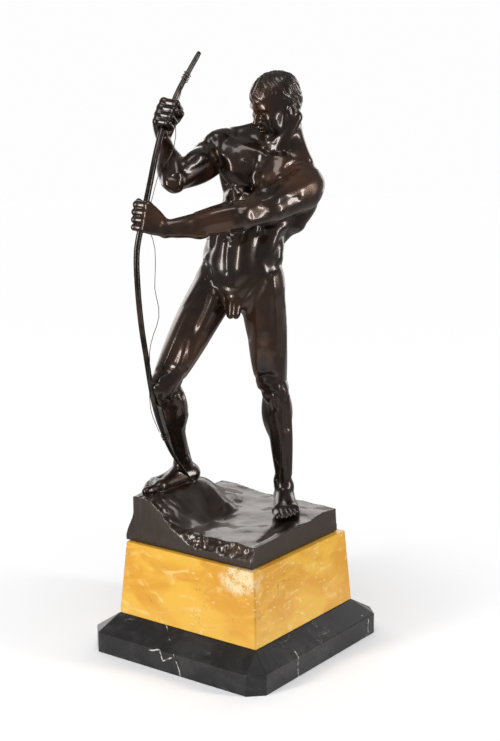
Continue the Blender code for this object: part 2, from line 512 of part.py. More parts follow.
def neck_and_head(clay, trunk, head, arm):
    at = head.at
    clay.roll(trunk.at(118, 0, -3), at(0, -5.5, -12), 16.5, 13.6, blend=6)
    for s in (LEFT, RIGHT):
        clay.roll(trunk.at(121, s * 4, 10), at(s * 15, -8, -14), 4, 5.6, 1.2, blend=4)
        clay.roll(at(s * 3, -9, -16), arm[s].at(-0.1, 0, 4), 5, 9, -1.6, blend=7)
        clay.roll(at(s * 4, -7, -20), (trunk.at(120, s * 12, 2) + arm[s].at(-0.05)) / 2, 6.5, 9, blend=6)
    clay.roll(trunk.at(123, 0, 9), at(0, 4, -22), 5, 5, blend=3)
    clay.ball(at(0, -1.5, 7.4), (18.4, 22, 18.4), head, 4)
    clay.ball(at(0, -9, 0), (16.5, 15, 17), head, 4)
    clay.ball(at(0, 8, -5), (14.8, 13, 20), head, 4)
    # jaw, cheeks, brow and chin
    for s in (LEFT, RIGHT):
        clay.roll(at(s * 13.6, -2, -13), at(s * 4, 15.5, -24), 4.4, 4, 0.4, blend=3)
        clay.roll(at(s * 14, -3, -6), at(s * 13.4, -2, -13), 4, 4.4, blend=3)
        clay.ball(at(s * 10.4, 13, -6.4), (5, 5.5, 4), head, 3)
        clay.ball(at(s * 8.6, 11.5, -13.5), (6, 5.6, 8), head, 4)
        clay.roll(at(s * 1.6, 19, 2.2), at(s * 10.5, 16.2, 2.8), 2.4, 2.4, 0.5, blend=2)
    clay.ball(at(0, 16.4, -24), (5.2, 4.2, 4), head, 2.5)
    clay.ball(at(0, 14.5, -16), (8.5, 6, 6.5), head, 3)
    # eyes, nose, lips and ears
    for s in (LEFT, RIGHT):
        clay.ball(at(s * 6.6, 21, -1.8), (4.2, 4.4, 3.2), head, 2, True)
        clay.ball(at(s * 6.6, 15.6, -2.2), (3.7, 3.6, 3.2), head, 0.6)
        clay.roll(at(s * 3.4, 18.2, -1.6), at(s * 10, 16.2, -1.6), 0.9, 0.9, 0.5, blend=0.8)
    clay.roll(at(0, 18.6, 1), at(0, 23.4, -8.6), 1.9, 2.6, blend=1.6)
    clay.ball(at(0, 23.2, -9.2), (2.9, 2.8, 2.5), head, 1.2)
    for s in (LEFT, RIGHT):
        clay.ball(at(s * 2.9, 21, -9.8), (2, 2.4, 1.9), head, 1)
        clay.roll(at(s * 0.5, 20.9, -14.6), at(s * 5.2, 18.4, -15.2), 1.4, 0.9, 0.2, blend=0.9)
        clay.roll(at(s * 0.5, 20.4, -17.6), at(s * 4.4, 18.4, -16.8), 1.6, 1, 0.2, blend=0.9)
        clay.ball(at(s * 17.6, -4, -6), (2.2, 4.4, 6.6), head, 1.2)
        clay.ball(at(s * 19.6, -3, -5.5), (1.2, 2.3, 4.2), head, 1, True)
    clay.roll(at(-4.6, 20.4, -16.1), at(4.6, 20.4, -16.1), 0.5, 0.5, blend=0.8, cut=True)
    # cropped hair as a thin cap over the skull
    clay.ball(at(0, -2.8, 8.4), (19, 21.4, 17.6), head, 0.6)


def archer(step):
    """The whole figure in clay."""
    clay = Clay((-112, -90, 12), (92, 66, 426), step)
    trunk = Trunk()
    upper = {}
    for s, front in ((LEFT, (-0.45, -0.4, 0.8)), (RIGHT, (0.3, -0.2, 0.9))):
        upper[s] = Bone(JOINTS["shoulder"][s], JOINTS["elbow"][s], front, s)
    torso(clay, trunk, upper)
    fronts = {
        LEFT: ((0, 1, 0.1), (-0.25, -0.97, 0), (-0.12, -0.97, 0), (0.02, -1, 0), (0, 0, 1)),
        RIGHT: ((1, 0.3, 0), (-0.45, -0.89, 0.3), (-0.5, -0.85, 0), (-0.76, -0.65, -0.05), (-0.04, 0, 1)),
    }
    # the far arm, seen from its outer side: a heavy shoulder that tapers to the elbow
    clay.roll((56, -13, 316), (29, -41, 306), 18.6, 14.2, blend=5)
    clay.roll((29, -41, 306), JOINTS["elbow"][LEFT], 14.2, 12.2, blend=3)
    clay.roll((2, -56.5, 294.5), (-30, -58.5, 287.5), 9.5, 7.6, blend=5)
    clay.roll((-30, -58.5, 287.5), (-48, -59.5, 286.6), 7.6, 6.4, blend=5)
    for s, (inner, knee, shin, toes, up) in fronts.items():
        thigh = Bone(JOINTS["hip"][s], JOINTS["knee"][s], knee, s)
        outward = 2.2 if s == LEFT else 0
        lower = Bone(np.add(JOINTS["knee"][s], (outward, 0, -1)), JOINTS["ankle"][s], shin, s)
        leg(clay, thigh, lower)
        foot(clay, JOINTS["ankle"][s], toes, up, s)
        limb(clay, upper[s], Bone(JOINTS["elbow"][s], JOINTS["wrist"][s], inner, s))
    neck_and_head(clay, trunk, HEAD, upper)
    fist(
        clay, JOINTS["wrist"][RIGHT], Grip(bow_at(378)[0], (0.339, 0.47, 0.814), (0.9, -0.3, 0), RIGHT),
        (6, -5.5), (6.5, 6.5), (-2, 7), (-5, 3), ((-13, -1, 1), (-7, 5, 2.6), (-0.5, 10.5, 5)),
    )
    fist(
        clay, JOINTS["wrist"][LEFT], Grip(bow_at(296.5)[0], (0.142, 0.205, 0.968), (0.1, 0.97, -0.2), LEFT),
        (-4, -7), (6, -4.6), (5.2, 5.5), (-1.5, 6.5), ((-11, 1, 4), (-2, 7, 7.4), (6.5, 4.5, 13)),
    )
    for line in BODY_LINES.values():
        clay.stroke(EYE, *line)
    for line in BACK_LINES.values():
        clay.stroke(EYE_BEHIND, *line)
    return clay


def soft(value, low, high):
    """Nought below low, one above high and a smooth climb between."""
    t = min(max((value - low) / (high - low), 0.0), 1.0)
    return t * t * (3 - 2 * t)


def rock_height(x, y):
    """The rock's top, in figure millimetres above the bronze's underside; x and y run along its sides."""
    front, back = ROCK_ENDS
    level = 18 + 3.6 * soft(y, front, back)
    mound = 24.5 * (1 - soft(x, -52, -12)) * (1 - 0.86 * soft(y, 4, back - 13))
    along = min(max((x + 50) / 42, 0), 1)
    ridge_y = 12 - 9 * along
    ridge = (5.5 + 3 * along) * math.exp(-(((y - ridge_y) / 10.5) ** 2)) * (1 - soft(x, -15, 2))
    hollow = 2.6 * math.exp(-(((x + 12) / 17) ** 2) - ((y + 27) / 15) ** 2)
    valley = 1.5 * math.exp(-(((x - 53 - 0.13 * (3 - y)) / 4.5) ** 2))
    valley = valley * soft(y, front, -40) * (1 - soft(y, 0, 14))
    waves = 0.5 * math.sin(0.16 * x + 0.9) * math.sin(0.13 * y + 0.07 * x)
    top = level + mound * (1 - 0.3 * soft(ridge, 0, 8)) + ridge - hollow - valley + waves
    edge = 6.4 + 39 / (1 + math.exp((x + 26) / 9.5)) + 1.5 * soft(x, 40, ROCK_SIDES[1])
    crag = 0.9 * math.sin(0.55 * x) * math.sin(0.7 * y + 0.3 * x)
    slope = edge + (y - front) * 1.7 + crag * soft(y, front, front + 7)
    return min(top, slope)


def rock():
    """The rock as one closed body: a finely divided block whose top is raised to the rock's height."""
    half_x = (ROCK_SIDES[1] - ROCK_SIDES[0]) / 2
    half_y = (ROCK_ENDS[1] - ROCK_ENDS[0]) / 2
    mid_x = sum(ROCK_SIDES) / 2
    mid_y = sum(ROCK_ENDS) / 2
    bm = bmesh.new()
    bmesh.ops.create_grid(bm, x_segments=ROCK_CELLS, y_segments=ROCK_CELLS, size=1)
    rim = [e for e in bm.edges if e.is_boundary]
    made = bmesh.ops.extrude_edge_only(bm, edges=rim)["geom"]
    low = [v for v in made if isinstance(v, bmesh.types.BMVert)]
    high = [v for v in bm.verts if v not in low]
    low_edges = [e for e in made if isinstance(e, bmesh.types.BMEdge)]
    for v in high:
        x = v.co.x
        y = v.co.y
        # cells crowd towards the front, where the rock is broken
        y = -1 + 2 * ((y + 1) / 2) ** 1.35
        px = mid_x + x * half_x
        py = mid_y + y * half_y
        z = rock_height(px, py)
        lean = 8.6 * soft(z, 12, 24) * soft(-x, 0.7, 1) + 1.4 * soft(z, 0, 20) * soft(x, 0.7, 1)
        v.co = (px + (lean if x < 0 else -lean), py, z)
    for v in low:
        v.co.x = mid_x + v.co.x * half_x
        y = -1 + 2 * ((v.co.y + 1) / 2) ** 1.35
        v.co.y = mid_y + y * half_y
        v.co.z = 0
    bmesh.ops.contextual_create(bm, geom=low_edges)
    bmesh.ops.recalc_face_normals(bm, faces=bm.faces)
    mesh = bpy.data.meshes.new("rock")
    bm.to_mesh(mesh)
    bm.free()
    return mesh


def finish(name, colour, metallic, rough):
    """A plain material of this colour."""
    material = bpy.data.materials.new(name)
    material.use_nodes = True
    shader = material.node_tree.nodes["Principled BSDF"]
    shader.inputs["Base Color"].default_value = (*colour, 1)
    shader.inputs["Metallic"].default_value = metallic
    shader.inputs["Roughness"].default_value = rough
    material.diffuse_color = (*colour, 1)
    return material


def add(name, mesh, group):
    """Puts a mesh into the scene under this name."""
    mesh.name = name
    thing = bpy.data.objects.new(name, mesh)
    group.objects.link(thing)
    return thing


def biggest(mesh):
    """Keeps the biggest closed piece of a mesh, so no bubble or chip is left in or beside it."""
    bm = bmesh.new()
    bm.from_mesh(mesh)
    left = set(bm.verts)
    pieces = []
    while left:
        seed = left.pop()
        piece = {seed}
        front = [seed]
        while front:
            vert = front.pop()
            for edge in vert.link_edges:
                other = edge.other_vert(vert)
                if other in left:
                    left.discard(other)
                    piece.add(other)
                    front.append(other)
        pieces.append(piece)
    pieces.sort(key=len)
    for piece in pieces[:-1]:
        bmesh.ops.delete(bm, geom=list(piece), context="VERTS")
    bm.to_mesh(mesh)
    bm.free()


def baked(thing):
    """The thing's mesh with its modifiers worked in."""
    graph = bpy.context.evaluated_depsgraph_get()
    mesh = bpy.data.meshes.new_from_object(thing.evaluated_get(graph))
    mesh.transform(thing.matrix_world)
    return mesh


def wire(name, points, radii):
    """A round bar through these points with these radii, as a closed mesh."""
    curve = bpy.data.curves.new(name, "CURVE")
    curve.dimensions = "3D"
    curve.bevel_depth = 1
    curve.bevel_resolution = 2
    curve.use_fill_caps = True
    spline = curve.splines.new("POLY")
    spline.points.add(len(points) - 1)
    for dot, place, radius in zip(spline.points, points, radii):
        dot.co = (*place, 1)
        dot.radius = radius
    thing = bpy.data.objects.new(name, curve)
    bpy.context.scene.collection.objects.link(thing)
    bpy.context.view_layer.update()
    mesh = baked(thing)
    bpy.data.objects.remove(thing)
    bm = bmesh.new()
    bm.from_mesh(mesh)
    bmesh.ops.remove_doubles(bm, verts=bm.verts, dist=0.002)
    bmesh.ops.recalc_face_normals(bm, faces=bm.faces)
    bm.to_mesh(mesh)
    bm.free()
    return mesh


def bow_wire(name, more, lower):
    """The bow's bar, thicker all round by more and longer at its foot by lower."""
    points = smooth_run(BOW, 2)
    radii = [bow_at(p[2])[1] + more for p in points]
    last = points[-1] - points[-2]
    points[-1] = points[-1] + last / np.linalg.norm(last) * lower
    return wire(name, points, radii)


def string_points():
    """The string's run beside the bow."""
    return [bow_at(h)[0] + np.array((out, -near, 0)) for h, out, near in STRING_RUN]


def string_wire(name, more):
    """The string, thicker all round by more."""
    points = string_points()
    return wire(name, points, [STRING / UNIT + more] * len(points))


def winding(name, top, bottom):
    """The string's end wound twice round the bow."""
    steps = 13
    turns = 1.7
    points = []
    for k in range(steps + 1):
        t = k / steps
        place, radius = bow_at(top + (bottom - top) * t)
        below = bow_at(top - 3)[0]
        axis = Vector(bow_at(top)[0] - below).normalized()
        side = axis.orthogonal().normalized()
        other = axis.cross(side)
        turn = 2 * math.pi * turns * t
        reach = radius + (1.2 * STRING + 1.7 * FIT) / UNIT
        points.append(place + reach * np.array(side * math.cos(turn) + other * math.sin(turn)))
    return wire(name, points, [1.2 * STRING / UNIT] * len(points))


def slab(name, width, top_width, height, corner):
    """A square block with sloping sides whose upright corners are rounded."""
    bm = bmesh.new()
    bmesh.ops.create_cube(bm, size=1)
    for v in bm.verts:
        up = v.co.z > 0
        v.co.x *= top_width if up else width
        v.co.y *= top_width if up else width
        v.co.z = height if up else 0
    upright = [e for e in bm.edges if abs(e.verts[0].co.z - e.verts[1].co.z) > height / 2]
    bmesh.ops.bevel(bm, geom=upright, offset=corner, segments=3, profile=0.5, affect="EDGES")
    mesh = bpy.data.meshes.new(name)
    bm.to_mesh(mesh)
    bm.free()
    return mesh


def black_foot():
    """The foot: an upright band with its corners cut, and a slope up to the block's sharp-cornered foot."""
    bm = bmesh.new()
    x = FOOT_WIDTH / 2
    y = FOOT_DEPTH / 2
    c = FOOT_CORNER
    outline = []
    for sx, sy in ((1, 1), (-1, 1), (-1, -1), (1, -1)):
        pair = [(sx * x, sy * (y - c)), (sx * (x - c), sy * y)]
        outline += pair if sx * sy > 0 else pair[::-1]
    rings = [[bm.verts.new((px, py, z)) for px, py in outline] for z in (0, FOOT_BAND)]
    inner = BLOCK_WIDTH / 2
    corners = ((1, 1), (-1, 1), (-1, -1), (1, -1))
    top = [bm.verts.new((sx * inner, sy * inner, FOOT_HEIGHT)) for sx, sy in corners]
    bm.faces.new(rings[0][::-1])
    bm.faces.new(top)
    for i in range(8):
        j = (i + 1) % 8
        bm.faces.new((rings[0][i], rings[0][j], rings[1][j], rings[1][i]))
        corner = top[i // 2]
        if i % 2 == 0:
            bm.faces.new((rings[1][i], rings[1][j], corner))
        else:
            bm.faces.new((rings[1][i], rings[1][j], top[(i // 2 + 1) % 4], corner))
    bmesh.ops.recalc_face_normals(bm, faces=bm.faces)
    mesh = bpy.data.meshes.new("black_foot")
    bm.to_mesh(mesh)
    bm.free()
    return mesh


def marble_block():
    """The Siena block, a little narrower at its top, with its upright edges rounded."""
    return slab("block", BLOCK_WIDTH, BLOCK_TOP_WIDTH, BLOCK_HEIGHT, BLOCK_EDGE)


for old in list(bpy.data.objects):
    bpy.data.objects.remove(old)

parts = bpy.data.collections.new("bronze_archer")
bpy.context.scene.collection.children.link(parts)
cutters = bpy.data.collections.new("cutters")
bpy.context.scene.collection.children.link(cutters)

bronze = finish("bronze", (0.045, 0.032, 0.026), 1.0, 0.28)
bow_bronze = finish("bow_bronze", (0.06, 0.05, 0.043), 1.0, 0.34)
string_bronze = finish("string_bronze", (0.07, 0.055, 0.045), 1.0, 0.4)
siena = finish("siena_marble", (0.62, 0.36, 0.08), 0.0, 0.3)
black = finish("black_marble", (0.02, 0.018, 0.018), 0.0, 0.15)

# figure millimetres to metres on the block: scaled, turned and set on its top
place_bronze = (
    Matrix.Translation((0, 0, ROCK_BASE)) @ Matrix.Rotation(TURN, 4, "Z") @ Matrix.Scale(UNIT, 4)
)
place_rock = Matrix.Translation((0, 0, ROCK_BASE)) @ Matrix.Scale(UNIT, 4)

points, faces = archer(CLAY_GRAIN / UNIT).skin()
body = bpy.data.meshes.new("body")
body.from_pydata(points.tolist(), [], faces.tolist())
biggest(body)
body.transform(place_bronze)
figure = add("figure", body, parts)
thin = figure.modifiers.new("Fewer faces", "DECIMATE")
thin.ratio = BRONZE_FACES / (2 * len(faces))
thinned = baked(figure)
bpy.data.objects.remove(figure)
figure = add("bronze_archer", thinned, parts)

ground = rock()
ground.transform(place_rock)
rock_thing = add("rock_cutter", ground, cutters)
hole = bow_wire("bow_cutter", FIT / UNIT + 0.02, 0.6)
hole.transform(place_bronze)
bow_hole = add("bow_cutter", hole, cutters)
hole = string_wire("string_cutter", FIT / UNIT + 0.05)
hole.transform(place_bronze)
string_hole = add("string_cutter", hole, cutters)
for cutter, how in ((rock_thing, "UNION"), (bow_hole, "DIFFERENCE"), (string_hole, "DIFFERENCE")):
    cutter.hide_render = True
    cutter.display_type = "WIRE"
    step = figure.modifiers.new(cutter.name, "BOOLEAN")
    step.operation = how
    step.solver = "EXACT"
    step.object = cutter
whole = baked(figure)
bpy.data.objects.remove(figure)
for cutter in (rock_thing, bow_hole, string_hole):
    bpy.data.objects.remove(cutter)
biggest(whole)
figure = add("bronze_archer", whole, parts)
whole.materials.clear()
whole.materials.append(bronze)

bow_mesh = bow_wire("bow", 0, 0)
bow_mesh.transform(place_bronze)
add("bow", bow_mesh, parts)
bow_mesh.materials.append(bow_bronze)
string_mesh = string_wire("bowstring", 0)
string_mesh.transform(place_bronze)
add("bowstring", string_mesh, parts)
string_mesh.materials.append(string_bronze)
for name, (top, bottom) in WINDINGS.items():
    coil = winding(name, top, bottom)
    coil.transform(place_bronze)
    add(name, coil, parts)
    coil.materials.append(string_bronze)

block = marble_block()
block.transform(Matrix.Translation((0, 0, BLOCK_BASE)))
add("siena_block", block, parts)
block.materials.append(siena)
base = black_foot()
add("black_marble_foot", base, parts)
base.materials.append(black)
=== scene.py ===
import json
import math

import bmesh
import bpy
import numpy as np
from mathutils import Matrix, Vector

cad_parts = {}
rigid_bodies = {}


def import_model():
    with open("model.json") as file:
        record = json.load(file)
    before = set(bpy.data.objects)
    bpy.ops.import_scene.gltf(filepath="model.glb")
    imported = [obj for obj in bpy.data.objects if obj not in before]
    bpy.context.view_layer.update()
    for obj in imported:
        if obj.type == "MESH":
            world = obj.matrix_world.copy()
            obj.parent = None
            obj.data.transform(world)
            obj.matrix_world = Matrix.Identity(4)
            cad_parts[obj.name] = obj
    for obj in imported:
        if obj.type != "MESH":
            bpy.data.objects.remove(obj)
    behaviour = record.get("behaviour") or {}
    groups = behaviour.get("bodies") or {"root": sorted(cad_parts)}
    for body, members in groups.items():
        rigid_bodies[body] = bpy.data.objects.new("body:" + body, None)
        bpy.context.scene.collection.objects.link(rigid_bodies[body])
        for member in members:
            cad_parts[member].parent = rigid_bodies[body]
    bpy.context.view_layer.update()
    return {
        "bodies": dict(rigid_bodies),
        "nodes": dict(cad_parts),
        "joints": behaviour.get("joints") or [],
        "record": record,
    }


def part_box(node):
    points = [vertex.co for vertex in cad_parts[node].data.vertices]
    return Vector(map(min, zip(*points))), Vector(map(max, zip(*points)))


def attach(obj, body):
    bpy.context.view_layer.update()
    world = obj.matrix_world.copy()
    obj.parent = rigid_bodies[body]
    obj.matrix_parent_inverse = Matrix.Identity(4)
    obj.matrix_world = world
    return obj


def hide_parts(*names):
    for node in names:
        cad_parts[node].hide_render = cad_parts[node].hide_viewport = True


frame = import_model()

import openvdb
from mathutils import Matrix, Vector, noise


# Black marble foot
# A turned-out foot of black marble with thin white veins: an upright band with cut corners, and a
# slope up to the Siena block. It is sawn, ground and polished, and its edges are taken off a little.
FOOT_EASE = 0.0005
EASE_STEPS = 3
FLAT_ANGLE = 0.01
SHARP_ANGLE = 0.12
BLACK = (0.0125, 0.0118, 0.0122)
BLACK_CLOUD = (0.030, 0.029, 0.030)
WHITE_VEIN = (0.62, 0.60, 0.57)
# White veins that cross the slope and the band: half the width of each, and the points it runs through
FOOT_VEINS = (
    (0.00042, (0.066, -0.0326, 0.036), (0.095, -0.0388, 0.0195), (0.095, -0.040, 0.007), (0.095, -0.038, 0)),
    (0.00028, (-0.025, -0.074, 0.034), (0.004, -0.099, 0.0202), (0.0105, -0.099, 0.0051), (0.012, -0.099, 0)),
    (0.0005, (-0.0235, -0.099, 0.0165), (-0.0117, -0.099, 0.0195), (-0.0073, -0.099, 0.0099),
        (0.0029, -0.099, 0.0152)),
    (0.0003, (0.090, 0.066, 0.024), (0.095, 0.076, 0.016), (0.095, 0.0765, 0.004)),
    (0.0004, (-0.03, 0.075, 0.033), (-0.042, 0.099, 0.018), (-0.041, 0.099, 0.002)),
    (0.0004, (-0.095, 0.03, 0.018), (-0.095, 0.012, 0.009), (-0.095, 0.006, 0)),
    (0.0003, (-0.078, 0.041, 0.031), (-0.095, 0.03, 0.018)),
)
VEIN_CORE = 0.4
VEIN_EDGE = 1.6


class Recipe:
    """A material's nodes, made and linked by short calls."""

    def __init__(self, name):
        self.material = bpy.data.materials.new(name)
        self.material.use_nodes = True
        self.nodes = self.material.node_tree.nodes
        self.links = self.material.node_tree.links
        self.shader = self.nodes["Principled BSDF"]
        self.place = self.nodes.new("ShaderNodeTexCoord").outputs["Object"]

    def put(self, socket, value):
        """Links a socket to another, or sets it to a plain value."""
        if isinstance(value, bpy.types.NodeSocket):
            self.links.new(value, socket)
        elif isinstance(value, tuple) and len(value) == 3 and socket.type == "RGBA":
            socket.default_value = (*value, 1)
        else:
            socket.default_value = value

    def node(self, kind, out=0, settings=None, **inputs):
        """A node of this kind with its settings and inputs; inputs are named, or i0, i1 for their places."""
        made = self.nodes.new("ShaderNode" + kind)
        for key, value in (settings or {}).items():
            setattr(made, key, value)
        for key, value in inputs.items():
            at = int(key[1:]) if key[0] == "i" and key[1:].isdigit() else key.replace("_", " ")
            self.put(made.inputs[at], value)
        return made.outputs[out]

    def math(self, how, a, b=0.0, clamp=False):
        return self.node("Math", settings={"operation": how, "use_clamp": clamp}, i0=a, i1=b)

    def times(self, a, b):
        return self.math("MULTIPLY", a, b)

    def vector(self, how, a, b=(0, 0, 0), out=0):
        return self.node("VectorMath", out, {"operation": how}, i0=a, i1=b)

    def scaled(self, a, by):
        return self.node("VectorMath", settings={"operation": "SCALE"}, i0=a, Scale=by)

    def painted(self, name):
        """An attribute that is marked on the mesh."""
        return self.node("Attribute", 2, {"attribute_name": name})

    def noise(self, scale, detail=4.0, rough=0.5, twist=0.0, at=None, colour=False):
        at = at or self.place
        return self.node(
            "TexNoise", 1 if colour else 0,
            Vector=at, Scale=scale, Detail=detail, Roughness=rough, Distortion=twist,
        )

    def cells(self, scale, at=None):
        return self.node("TexVoronoi", Vector=at or self.place, Scale=scale)

    def band(self, value, low, high):
        """Nought below low and one above high, with a smooth climb; low above high turns it round."""
        falls = float(low > high)
        return self.node(
            "MapRange", settings={"interpolation_type": "SMOOTHSTEP"}, Value=value,
            From_Min=min(low, high), From_Max=max(low, high), To_Min=falls, To_Max=1.0 - falls,
        )

    def mix(self, share, a, b):
        """The colour a, turned into b by this share."""
        return self.node("Mix", 2, {"data_type": "RGBA"}, i0=share, i6=a, i7=b)

    def blend(self, share, a, b):
        """The number a, turned into b by this share."""
        return self.node("Mix", i0=share, i2=a, i3=b)

    def stretched(self, turn, scale):
        """The place turned and stretched, for a pattern that runs one way."""
        return self.node("Mapping", Vector=self.place, Rotation=turn, Scale=scale)

    def wandering(self, scale, reach):
        """The place pushed about by noise, so that a straight line comes out wandering."""
        push = self.vector("SUBTRACT", self.noise(scale, 3, colour=True), (0.5, 0.5, 0.5))
        return self.vector("ADD", self.place, self.scaled(push, reach))

    def bump(self, height, depth, strength):
        return self.node("Bump", Strength=strength, Distance=depth, Height=height)

    def near_line(self, a, b, at):
        """How far each place is from the line between points a and b."""
        a, b = Vector(a), Vector(b)
        run = b - a
        step = self.vector("SUBTRACT", at, tuple(a))
        along = self.vector("DOT_PRODUCT", step, tuple(run / run.length_squared), 1)
        along = self.math("MULTIPLY", along, 1.0, clamp=True)
        foot = self.scaled(tuple(run), along)
        return self.vector("LENGTH", self.vector("SUBTRACT", step, foot), out=1)

    def finish(self, **inputs):
        for key, value in inputs.items():
            self.put(self.shader.inputs[key.replace("_", " ")], value)
        return self.material


def dress(name, mesh, material, slot, *nodes):
    """Puts a piece into the scene with this material, in place of these CAD nodes; the slot is not used."""
    mesh.name = name
    piece = bpy.data.objects.new(name, mesh)
    bpy.context.scene.collection.objects.link(piece)
    mesh.materials.clear()
    mesh.materials.append(material)
    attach(piece, "root")
    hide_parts(*nodes)
    return piece


def closed_mesh(bm, name, smooth=True):
    """The bmesh as a mesh with its faces pointing outwards, shaded smooth or flat."""
    bmesh.ops.recalc_face_normals(bm, faces=bm.faces)
    for face in bm.faces:
        face.smooth = smooth
    mesh = bpy.data.meshes.new(name)
    bm.to_mesh(mesh)
    bm.free()
    return mesh


def eased(node, ease):
    """A copy of a flat-sided CAD node with its sharp edges taken off."""
    bm = bmesh.new()
    bm.from_mesh(frame["nodes"][node].data)
    bmesh.ops.remove_doubles(bm, verts=bm.verts, dist=1e-6)
    bmesh.ops.dissolve_limit(bm, angle_limit=FLAT_ANGLE, verts=bm.verts, edges=bm.edges)
    sharp = [e for e in bm.edges if e.calc_face_angle(0) > SHARP_ANGLE]
    bmesh.ops.bevel(
        bm, geom=sharp, offset=ease, segments=EASE_STEPS, profile=0.5, affect="EDGES", material=-1,
    )
    return closed_mesh(bm, node, smooth=False)


def black_marble():
    stone = Recipe("black_marble")
    bent = stone.wandering(120, 0.0032)
    vein = 0.0
    for width, *points in FOOT_VEINS:
        for a, b in zip(points, points[1:]):
            line = stone.band(stone.near_line(a, b, bent), width * VEIN_EDGE, width * VEIN_CORE)
            vein = stone.math("MAXIMUM", vein, line)
    vein = stone.times(vein, stone.band(stone.noise(420, 2), 0.3, 0.5))
    hair = stone.math("ABSOLUTE", stone.math("SUBTRACT", stone.noise(34, 5, 0.55, 1.6), 0.5))
    hair = stone.times(stone.band(hair, 0.006, 0.001), stone.band(stone.noise(22, 2), 0.56, 0.66))
    speck = stone.band(stone.cells(330), 0.09, 0.03)
    speck = stone.times(speck, stone.band(stone.noise(60, 2), 0.60, 0.68))
    colour = stone.mix(stone.band(stone.noise(30, 5, 0.6, 0.8), 0.42, 0.72), BLACK, BLACK_CLOUD)
    colour = stone.mix(stone.times(stone.math("MAXIMUM", hair, speck), 0.35), colour, WHITE_VEIN)
    colour = stone.mix(vein, colour, WHITE_VEIN)
    rough = stone.blend(stone.noise(55, 5, 0.6), 0.20, 0.36)
    dents = stone.bump(stone.noise(900, 3), 0.00004, 0.5)
    return stone.finish(
        Base_Color=colour, Roughness=rough, Normal=dents, IOR=1.5, Specular_IOR_Level=0.3,
    )


dress(
    "polished_foot", eased("black_marble_foot", FOOT_EASE), black_marble(),
    "black_marble", "black_marble_foot",
)


# Siena marble block
# One block of yellow Siena marble, a little narrower at its top, ground and polished. Pale clouds and
# thin brown veins run through it, and its front corner has a pale, pitted patch. It stands on the foot.
BLOCK_EASE = 0.0007
SIENA = (0.74, 0.415, 0.048)
SIENA_DEEP = (0.64, 0.300, 0.026)
SIENA_PALE = (0.82, 0.56, 0.185)
SIENA_CREAM = (0.86, 0.72, 0.44)
SIENA_VEIN = (0.17, 0.095, 0.060)
PITTED_CORNER = (0.056, -0.0735, 0.0905)
# Cracks in the block, each from one point to another
BLOCK_CRACKS = (
    ((0.0735, -0.050, 0.082), (0.0735, -0.014, 0.0795)),
    ((0.0735, -0.039, 0.092), (0.0735, -0.039, 0.062)),
    ((0.0735, -0.056, 0.063), (0.0735, -0.046, 0.0665)),
    ((0.0735, -0.024, 0.099), (0.0735, -0.004, 0.0935)),
    ((-0.052, -0.073, 0.062), (-0.034, -0.075, 0.046)),
)


def siena_marble():
    stone = Recipe("siena_marble")
    slanted = stone.stretched((0.2, 0.5, 0.4), (1, 1.15, 2.4))
    broad = stone.noise(16, 5, 0.5, 0.9, slanted)
    wisps = stone.noise(34, 6, 0.55, 1.2, slanted)
    colour = stone.mix(stone.band(broad, 0.34, 0.62), SIENA_DEEP, SIENA)
    colour = stone.mix(stone.times(stone.band(wisps, 0.50, 0.78), 0.8), colour, SIENA_PALE)
    # cream flecks, thickest on the right-hand face
    right_side = stone.band(stone.node("SeparateXYZ", Vector=stone.place), 0.055, 0.072)
    fleck = stone.band(stone.cells(105, slanted), 0.24, 0.07)
    chosen = stone.blend(right_side, 0.60, 0.50)
    shown = stone.math("GREATER_THAN", stone.noise(34, 2), chosen)
    fleck = stone.times(fleck, shown)
    colour = stone.mix(stone.times(fleck, 0.62), colour, SIENA_CREAM)
    # brown veins as thin as a hair, and the cracks
    line = stone.math("ABSOLUTE", stone.math("SUBTRACT", stone.noise(24, 4, 0.5, 1.8, slanted), 0.5))
    line = stone.band(line, 0.010, 0.001)
    line = stone.times(line, stone.band(stone.noise(40, 3), 0.50, 0.66))
    bent = stone.wandering(150, 0.0042)
    for a, b in BLOCK_CRACKS:
        crack = stone.band(stone.near_line(a, b, bent), 0.0008, 0.0002)
        line = stone.math("MAXIMUM", line, crack)
    line = stone.times(line, stone.band(stone.noise(300, 2), 0.25, 0.6))
    colour = stone.mix(stone.times(line, 0.7), colour, SIENA_VEIN)
    # the pale pitted corner
    step = stone.vector("SUBTRACT", stone.place, PITTED_CORNER)
    reach = stone.vector("LENGTH", stone.vector("MULTIPLY", step, (1, 1, 1.5)), out=1)
    reach = stone.math("ADD", reach, stone.times(stone.noise(70, 4, 0.6), 0.022))
    patch = stone.band(stone.noise(120, 4, 0.6), 0.30, 0.56)
    patch = stone.times(patch, stone.band(reach, 0.0350, 0.0240))
    colour = stone.mix(stone.times(patch, 0.75), colour, SIENA_CREAM)
    hole = stone.band(stone.cells(620), 0.36, 0.16)
    hole = stone.times(hole, stone.band(stone.noise(190, 3), 0.42, 0.52))
    pits = stone.times(hole, stone.band(reach, 0.0335, 0.0260))
    stray = stone.band(stone.cells(210), 0.16, 0.05)
    stray = stone.times(stray, stone.band(stone.noise(31, 2), 0.58, 0.66))
    pits = stone.math("MAXIMUM", pits, stone.times(stray, 0.7))
    colour = stone.mix(stone.times(pits, 0.85), colour, SIENA_VEIN)
    sunk = stone.math("SUBTRACT", stone.times(stone.noise(700, 3), 0.12), pits)
    return stone.finish(
        Base_Color=colour, Roughness=stone.blend(wisps, 0.16, 0.34), Normal=stone.bump(sunk, 0.0003, 0.8),
        IOR=1.5, Subsurface_Weight=0.06, Subsurface_Scale=0.004,
    )


dress("marble_block", eased("siena_block", BLOCK_EASE), siena_marble(), "siena_marble", "siena_block")


